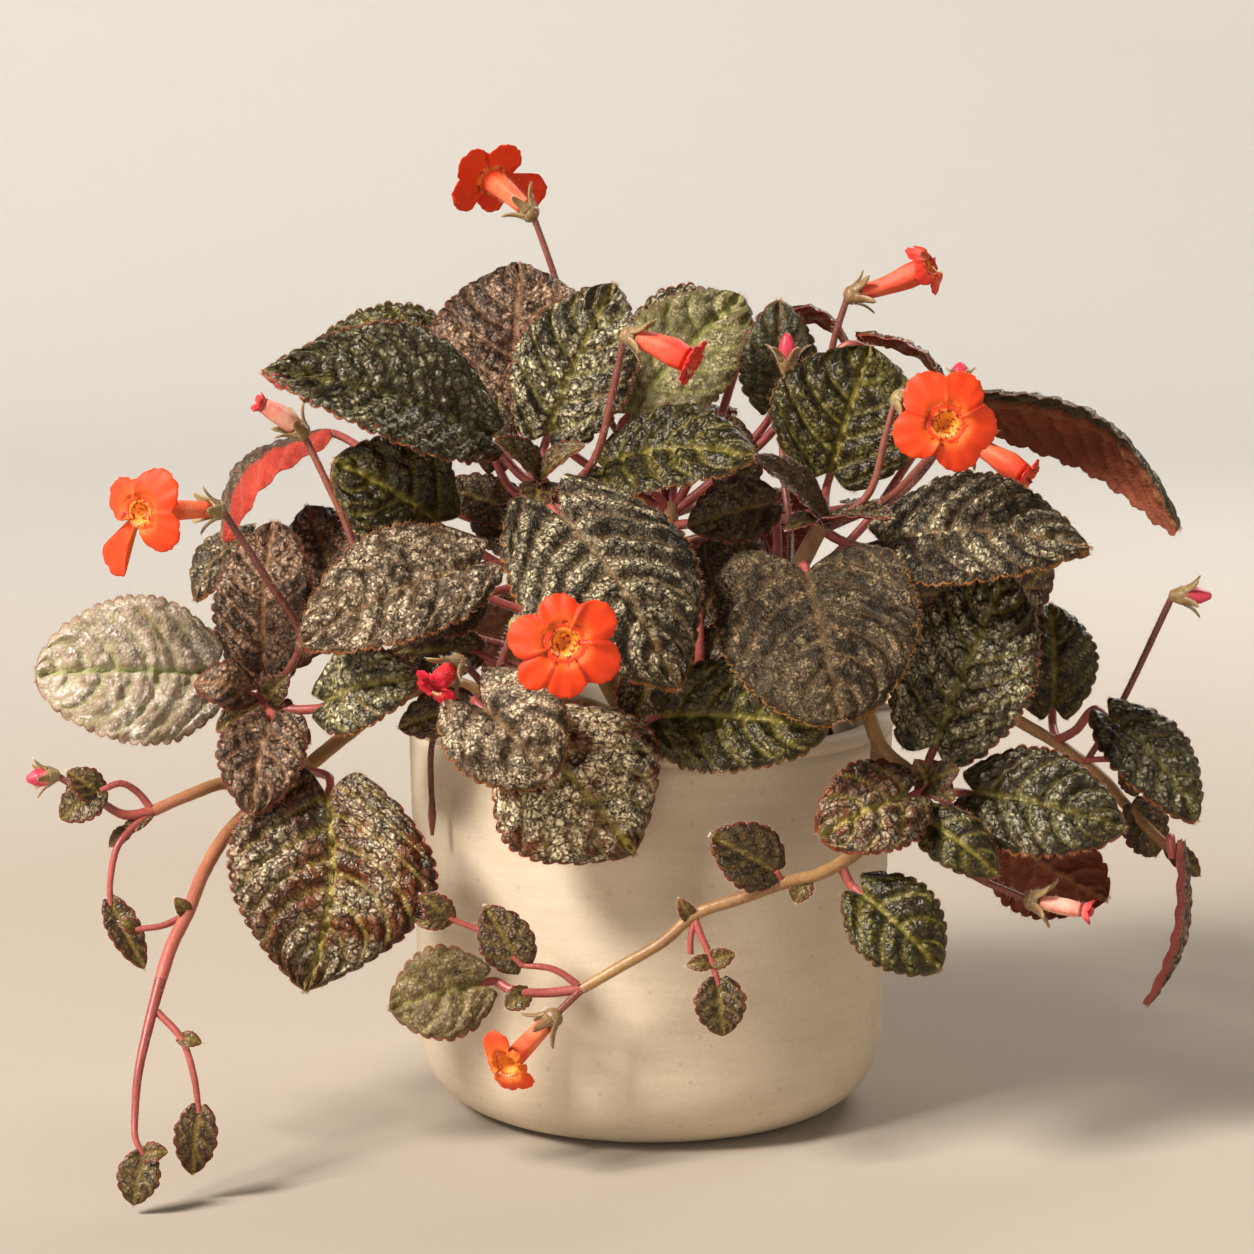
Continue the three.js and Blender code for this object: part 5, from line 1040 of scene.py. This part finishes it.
# Flowers
corolla = dict(angles=100, tubeRings=15, backRings=9, frontRings=20, throatRings=8, lobeCup=0.9, step=0.8,
               edgeWave=0.28, recurve=0.8, hairs=260, hairRadius=0.03, fringe=26, fringeRadius=0.06,
               tubeFoot=3.85, throatEnd=3.6, spots=0.95, fadedSpots=0.25)
# dots is the dark red of the throat dots, and also of the painted shade deep in the throat and the painted
# shadow lines between the lobes.
flowerColours = dict(lobe="e23e0c", lobeDark="c8240a", tube="e2492a", tubePale="ec8a5a", throat="f09a34",
                     dots="951410", crimson="c4142e")
budColours = {**flowerColours, "tube": "dd6f62", "tubePale": "efc3a8"}
crimsonShare = dict(flower_3=0.75, flower_4=0.5, flower_8=1.0, flower_6=0.55, bud_1=0.9, bud_2=0.9)
crimsonAtBase = dict(flower_8=0.85, flower_4=0.6, flower_3=0.5)


def flowerFinish(name, hues):
    material = newFinish(name, {"Roughness": 0.55, "Specular IOR Level": 0.3, "Subsurface Weight": 0.1,
                                "Subsurface Radius": (0.004, 0.001, 0.0005), "Subsurface Scale": 0.4})
    place = objectPlace()
    tube, throat, dark, crimson = paintMasks()
    cloud = noise(place, 260.0)
    lobe = mixed(times(ramp(cloud, 0.35, 0.75), 0.3), colour(hues["lobe"]), colour(hues["lobeDark"]))
    pale = mixed(ramp(cloud, 0.3, 0.7), colour(hues["tube"]), colour(hues["tubePale"]))
    tone = mixed(crimson, mixed(tube, lobe, pale), colour(hues["crimson"]))
    # The dark mask: the throat dots, with painted shade deep in the throat and painted shadow lines between
    # the lobes.
    tone = mixed(dark, mixed(throat, tone, colour(hues["throat"])), colour(hues["dots"]))
    colourWith(tone)
    bumpWith(noise(place, 1500.0, 3.0), 0.35, 0.0003)
    return material


corollaSkin = flowerFinish("corollaSkin", flowerColours)
budSkin = flowerFinish("budSkin", budColours)


def lobeRows(flower):  # turn in degrees, reach and breadth of each lobe
    return flower.get("lobes") or [(flower["turn"] + 72 * k, flower["reach"], flower["lobe"])
                                   for k in range(5)]


def lobeEdge(angles, lobes, mouth):  # the reach of the edge and the lobe that it belongs to
    edge = np.full(len(angles), mouth * 1.25)
    owner = np.full(len(angles), -1)
    for k, (degrees, reach, broad) in enumerate(lobes):
        off = angles - math.radians(degrees)
        middle = reach - broad / 2
        root = (broad / 2) ** 2 - (middle * np.sin(off)) ** 2
        far = middle * np.cos(off) + np.sqrt(np.maximum(root, 0))
        far = np.where((np.cos(off) > 0) & (root > 0), far, 0)
        owner = np.where(far > edge, k, owner)
        edge = np.maximum(edge, far)
    return edge, owner


def acrossLobes(angles, lobes, owner):  # how far a place is across its lobe, from -1 to 1
    across = np.zeros(len(angles))
    for k, (degrees, reach, broad) in enumerate(lobes):
        off = (angles - math.radians(degrees) + np.pi) % fullTurn - np.pi
        mine = owner == k
        if mine.any():
            across[mine] = off[mine] / max(0.2, np.abs(off[mine]).max())
    return across


def tubeTrack(start, bend, throat, face, level):  # places along the tube with two directions at each
    t = np.linspace(0, 1, corolla["tubeRings"])[:, None]
    centre = (1 - t) ** 2 * start + 2 * t * (1 - t) * bend + t ** 2 * throat
    centre[-1] = throat - face * 1.4
    ways = units(np.gradient(centre, axis=0))
    ways[-1] = face
    sides = [level]
    for way in ways[-2::-1]:
        sides.append(unit(sides[-1] - way * np.dot(sides[-1], way)))
    sides = np.array(sides[::-1])
    return centre, sides[:, None, :], np.cross(ways, sides)[:, None, :]


def flowerPiece(name, flower, seed):
    seat, throat, face, bend, axis = flowerSeat(flower)
    start = seat + axis * corolla["tubeFoot"]
    narrow, belly, mouth = flower["tube"]
    level = unit(np.cross(unit(np.array([0.1, 0.2, 1.0])), face))
    upright = np.cross(face, level)
    lobes = lobeRows(flower)
    spotShare = corolla["fadedSpots" if name == "flower_9" else "spots"]
    crimson = crimsonShare.get(name, 0)
    isBud = name.startswith("bud")
    count = corolla["angles"]
    angles = np.linspace(0, 2 * np.pi, count, endpoint=False)
    edge, owner = lobeEdge(angles, lobes, mouth)
    across = acrossLobes(angles, lobes, owner)
    small = min(1.0, edge.max() / 11)
    edge = edge * (1 + 0.012 * np.sin(angles * 31 + seed) + 0.008 * np.sin(angles * 53 + 2 * seed))
    # The tube, with directions carried along it and matched to the mouth
    centre, sides, others = tubeTrack(start, bend, throat, face, level)
    share = np.linspace(0, 1, corolla["tubeRings"])
    radius = np.interp(share, [0, 1 / 3, 2 / 3, 1], [narrow, narrow * 1.2, belly, mouth])
    ribs = 0.035 * np.cos(5 * angles + seed)[None, :] * np.sin(np.pi * share)[:, None]
    radius = radius[:, None] * (1 + ribs)
    tube = centre[:, None, :] + radius[..., None] * ringWay(sides, others, angles)
    tubePaint = masked(np.clip(1.25 - 1.1 * share, 0, 1)[:, None], 0 * radius, 0, 0)

    def limb(out, rise, front):
        inner = 0.78 * mouth
        out = out[:, None]
        reach = inner + (edge[None, :] - inner) * out
        bent = math.tan(flower["back"]) * np.maximum(0, reach - mouth)
        cup = corolla["lobeCup"] * small * (across[None, :] ** 2 - 0.35) * smooth(0.1, 0.8, out) * 0.8
        step = corolla["step"] * small * across[None, :] ** 5 * smooth(0.0, 0.45, out)
        wave = corolla["edgeWave"] * small * np.sin(angles * 17 + seed)[None, :] * out ** 3
        curl = -corolla["recurve"] * small * out ** 4
        height = rise[:, None] - bent + (0 if isBud else 1) * (cup + step + wave + curl)
        points = (throat + face * height[..., None] + level * (reach * np.cos(angles)[None, :])[..., None]
                  + upright * (reach * np.sin(angles)[None, :])[..., None])
        if not front:
            return points, masked(0 * reach, 0, 0, 0)
        shade = 0.9 * np.exp(-((reach / (1.9 * inner)) ** 3)) * (1 - crimson)
        rays = (0.5 + 0.5 * np.cos(9 * np.pi * across))[None, :] ** 3
        dark = 0.5 * bellOf(reach - inner, 0.16 * np.maximum(edge.max(), 6)) * (0.3 + 0.7 * rays)
        # Painted shadow: thin dark lines down the sinuses, where one lobe overlaps the next.
        dark = np.maximum(dark, 0.4 * bellOf(1 - np.abs(across), 0.07)[None, :] * smooth(0.0, 0.3, out))
        zone = 1 - smooth(1.9 * inner, 2.3 * inner, reach)
        dots = smooth(0.58, 0.66, ripple(reach * 1.25 + 9, angles[None, :] * 5, seed)) * zone * spotShare
        return points, masked(0, shade, np.maximum(dark * (1 - 0.5 * shade), dots), 0)

    out = np.linspace(0.12, 1, corolla["backRings"]) ** 0.85
    back, backPaint = limb(out, -0.8 + 0.45 * out ** 2, False)
    out = np.linspace(1, 0.06, corolla["frontRings"]) ** 1.2
    funnel = 1.3 * (1 - smooth(0.0, 0.32, out - 0.12))
    front, frontPaint = limb(out, 0.2 - 0.35 * out ** 3 - funnel, True)
    # The throat goes down inside the tube
    deep = np.linspace(0, 1, corolla["throatRings"] + 1)[1:, None]
    inside = 0.92 * mouth * (1 - 0.6 * deep ** 1.2)
    middles = (throat - face * (1.2 + 2.3 * deep))[:, None, :]
    inner = middles + inside[..., None] * ringWay(level, upright, angles)
    spots = smooth(0.58, 0.68, ripple(deep * 5 + 3, angles[None, :] * 4.2, seed + 2))
    # The dark mask in the throat holds its dots and a painted shade that deepens towards the bottom of the
    # throat.
    innerPaint = masked(0, 1 - 0.15 * deep, np.maximum(spotShare * spots, 0.25 * deep ** 5), 0)
    points = np.concatenate([tube, back, front, inner])
    paints = np.concatenate([tubePaint, backPaint, frontPaint, innerPaint])
    way = np.linspace(0, 1, len(points))[:, None]  # from the calyx over the edge into the throat
    least = crimsonAtBase.get(name, 0.35)
    paints[..., 3] = crimson * (least + (1 - least) * smooth(0.15, 0.45, way))
    if isBud:
        paints[..., 0] = 1
        paints[..., 1] *= 0.2
        paints[..., 2] = 0.5 * smooth(0.5, 1.0, way)
        paints[..., 3] *= smooth(0.08, 0.3, way)
    form = newForm()
    ends = [[1, 0, 0, 0], [0, 0.8, 0.5, 0]]
    addLoft(form, points, start, throat - face * corolla["throatEnd"], 0,
            np.concatenate([paints.reshape(-1, 4), ends]))
    # White hairs on the tube and a fringe at the throat
    many = int(corolla["hairs"] * small)
    i = random.integers(0, corolla["tubeRings"] + 4, many)
    j = random.integers(0, count, many)
    roots = points[i, j]
    ways = units(roots - centre[np.minimum(i, corolla["tubeRings"] - 1)])
    addHairs(form, roots, ways + 0.35 * random.normal(size=(many, 3)), 0.5 + 0.6 * random.random(many),
             corolla["hairRadius"], 1)
    if not isBud:
        many = corolla["fringe"]
        outward = ringWay(level, upright, math.radians(-90) + (random.random(many) - 0.5) * 1.7)
        roots = throat + outward * 0.74 * mouth + face * 0.1
        addHairs(form, roots, outward + face * 0.7 + 0.2 * random.normal(size=(many, 3)),
                 0.8 + 0.8 * random.random(many), corolla["fringeRadius"], 2)
    piece = formObject(form, name.replace("_", "") + "Corolla",
                       [budSkin if isBud else corollaSkin, hairFinish, fringeFinish])
    finishPiece(piece, name)


for number, (name, flower) in enumerate(flowerRows.items()):
    flowerPiece(name, flower, number * 1.9 + 1)
print("flowers made:", len(flowerRows))

# Pot
pot = dict(sides=160, throwLines=0.06, footCentre=39.3, footRound=18.0, wallFoot=57.3, wallFlare=2.1,
           wallTop=94, body="d2c2aa", bodyDark="bba98f", grains="ddd3c3", speckle="6e6355")
footRound, wallHeight = pot["footRound"], pot["wallTop"] - pot["footRound"]


def roundCorner(centre, radius, steps):  # from flat on the ground to upright
    turns = [math.pi / 2 * k / steps for k in range(steps + 1)]
    return [(centre + radius * math.sin(turn), radius - radius * math.cos(turn)) for turn in turns]


bowl = [(0, 0)] + roundCorner(pot["footCentre"], footRound, 12)
for k in range(1, 40):
    height = footRound + wallHeight * k / 40
    line = pot["throwLines"] * math.sin(height * 1.15 + 2 * math.sin(height * 0.23))
    bowl.append((pot["wallFoot"] + pot["wallFlare"] * (height - footRound) / wallHeight + line, height))
# The groove, the rim and the inside
bowl += [(59.35, 93.9), (59.1, 94.15), (58.9, 94.6), (59.3, 95.0), (59.8, 95.2), (60, 95.7), (60, 96.4),
         (59.85, 97.0), (59.5, 97.5), (59.0, 97.85), (58.4, 98), (56.1, 98), (55.5, 97.8), (55.0, 97.3),
         (54.6, 96.5), (54.3, 90), (53.6, 60), (52.7, 36), (51.8, 22), (50.6, 16), (48, 12.5),
         (44.6, 10), (39.5, 8), (33.8, 7), (0, 7)]


def spun(name, outline, sides):
    mesh = bpy.data.meshes.new(name)
    edges = [(k, k + 1) for k in range(len(outline) - 1)]
    mesh.from_pydata([(r * mm, 0, z * mm) for r, z in outline], edges, [])
    piece = placed(name, mesh)
    selectOnly(piece)
    bpy.ops.object.mode_set(mode="EDIT")
    bpy.ops.mesh.select_all(action="SELECT")
    bpy.ops.mesh.spin(steps=sides, angle=fullTurn, center=(0, 0, 0), axis=(0, 0, 1))
    bpy.ops.mesh.remove_doubles(threshold=0.00002)
    bpy.ops.mesh.select_all(action="SELECT")
    bpy.ops.mesh.normals_make_consistent(inside=False)
    bpy.ops.object.mode_set(mode="OBJECT")
    piece.data.shade_smooth()
    return piece


def stonewareFinish():
    material = newFinish("stoneware", {"Roughness": 0.72})
    place = objectPlace()
    cloud = noise(place, 22.0, 5.0)
    bands = noise(add("Mapping", Vector=place, Scale=(1, 1, 9)).outputs[0], 60.0, 3.0)
    grain = noise(place, 1400.0, 3.0, 0.7)
    tone = timesPlus(bands, 0.3, times(cloud, 0.8))
    base = mixed(ramp(tone, 0.35, 0.75), colour(pot["body"]), colour(pot["bodyDark"]))
    base = mixed(times(ramp(grain, 0.5, 0.75), 0.35), base, colour(pot["grains"]))
    # A few of the cells hold a small dark dot
    cells = add("TexVoronoi", Vector=place, Scale=420.0)
    chosen = maths("GREATER_THAN", add("SeparateColor", cells.outputs["Color"]).outputs[0], 0.94)
    dot = times(chosen, ramp(maths("SUBTRACT", 0.32, cells.outputs["Distance"]), 0.0, 0.08))
    colourWith(mixed(times(dot, 0.18), base, colour(pot["speckle"])))
    bumpWith(timesPlus(bands, 0.5, times(grain, 0.5)), 0.4, 0.0004)
    return material


potPiece = spun("potBowl", bowl, pot["sides"])
potPiece.data.materials.append(stonewareFinish())
finishPiece(potPiece, "pot")
print("pot made")

# Soil
soil = dict(level=86.0, crown=4.0, radius=53.6, sides=132, topRings=44, lumpSize=2.3, crumbs=900,
            crumbReach=52, dark="0f0a07", light="2b1c12")


def soilTop(x, y):
    return (soil["level"] + soil["crown"] * (1 - (np.hypot(x, y) / 60) ** 2)
            + 0.8 * np.sin(0.31 * x + 1) * np.sin(0.37 * y) + 0.5 * np.sin(0.9 * x - 0.7 * y))


def soilFinish():
    material = newFinish("pottingSoil", {"Roughness": 0.92})
    place = objectPlace()
    cloud = ramp(noise(place, 260.0, 6.0, 0.7), 0.4, 0.72)
    colourWith(mixed(cloud, colour(soil["dark"]), colour(soil["light"])))
    bumpWith(noise(place, 900.0, 4.0, 0.7), 0.8, 0.001)
    return material


outline = [(0, 7.3), (33.6, 7.3), (44.2, 10.5), (51.4, 22.3), (53.3, 60), (soil["radius"], 84)]
outline += [(soil["radius"] * (1 - k / soil["topRings"]), 85.5) for k in range(1, soil["topRings"])]
outline += [(0, 85.5)]
soilPiece = spun("soilBed", outline, soil["sides"])
places = np.empty(len(soilPiece.data.vertices) * 3)
soilPiece.data.vertices.foreach_get("co", places)
places = places.reshape(-1, 3)
x, y = places[:, 0] / mm, places[:, 1] / mm
top = places[:, 2] > 83 * mm
lumps = 1.5 * (pebbles(x / soil["lumpSize"], y / soil["lumpSize"], 3) - 0.35)
lumps = lumps + 0.9 * ripple(x * 0.9, y * 0.9, 5)
rim = smooth(0, 4, soil["radius"] - np.hypot(x, y))
places[top, 2] = (soilTop(x, y) + lumps * rim - 0.6)[top] * mm
soilPiece.data.vertices.foreach_set("co", places.ravel())
form = newForm()
corners = np.array([(1, 0, 0), (-1, 0, 0), (0, 1, 0), (0, -1, 0), (0, 0, 1), (0, 0, -1)], float)
cornerFaces = np.array([(0, 2, 4), (2, 1, 4), (1, 3, 4), (3, 0, 4), (2, 0, 5), (1, 2, 5), (3, 1, 5),
                        (0, 3, 5)])
for k in range(soil["crumbs"]):
    r, turn = soil["crumbReach"] * math.sqrt(random.random()), random.random() * 2 * math.pi
    cx, cy = r * math.cos(turn), r * math.sin(turn)
    size = 0.5 + 1.1 * random.random() ** 2
    crumb = corners * size * (0.7 + 0.6 * random.random((6, 3)))
    addPatch(form, crumb + [cx, cy, soilTop(cx, cy) + 0.1 + 0.3 * size], cornerFaces, 0)
selectOnly(formObject(form, "soilCrumbs", []), soilPiece)
bpy.ops.object.join()
soilPiece.data.materials.clear()
soilPiece.data.materials.append(soilFinish())
soilPiece.data.polygons.foreach_set("material_index", np.zeros(len(soilPiece.data.polygons), int))
finishPiece(soilPiece, "soil")
print("soil made")

# Stage: a pale round floor that rises into a wall, soft lights and the camera
stage = dict(floor="ada192", wall="e5e2dc", flat=1500, bend=600, high=750, skyPower=0.10,
             sky=(1.0, 0.97, 0.94, 1.0), lens=106.65, cameraPlace=(0, -0.900, 0.257), cameraTilt=81.23,
             cameraTurn=0.37)
lights = dict(  # place, place it looks at, power, size and tint
    softKey=((-1.28, -1.01, 1.52), (0, 0, 0.1), 88.0, 0.57, (1.0, 0.95, 0.89)),
    softFill=((1.2, -1.0, 0.7), (0, 0, 0.1), 2.0, 1.2, (1.0, 0.96, 0.92)),
    softRim=((0.6, 0.9, 1.1), (0, 0, 0.12), 11.0, 0.6, (1.0, 0.95, 0.88)),
)
flat, bend = stage["flat"], stage["bend"]
profile = [(0, 0)] + roundCorner(flat, bend, 10) + [(flat + bend, stage["high"])]
floor = spun("paleFloor", profile, 96)
floor.data.materials.append(newFinish("paleFloor", {"Roughness": 0.85}))
away = add("VectorMath", objectPlace(), operation="LENGTH").outputs["Value"]
colourWith(mixed(ramp(away, 0.3, 1.5), colour(stage["floor"]), colour(stage["wall"])))

for name, (place, aim, power, size, tint) in lights.items():
    lamp = bpy.data.lights.new(name, "AREA")
    lamp.energy = power
    lamp.size = size
    lamp.color = tint
    lampObject = placed(name, lamp)
    lampObject.location = place
    lampObject.rotation_euler = (Vector(aim) - Vector(place)).to_track_quat("-Z", "Y").to_euler()
world = bpy.data.worlds.new("paleSky")
world.use_nodes = True
world.node_tree.nodes["Background"].inputs["Color"].default_value = stage["sky"]
world.node_tree.nodes["Background"].inputs["Strength"].default_value = stage["skyPower"]
bpy.context.scene.world = world
bpy.context.scene.view_settings.view_transform = "Standard"
lens = bpy.data.cameras.new("frontView")
lens.lens = stage["lens"]
lens.sensor_width = 36
lens.clip_start = 0.01
camera = placed("frontView", lens)
camera.location = stage["cameraPlace"]
camera.rotation_euler = (math.radians(stage["cameraTilt"]), 0, math.radians(stage["cameraTurn"]))
bpy.context.scene.camera = camera
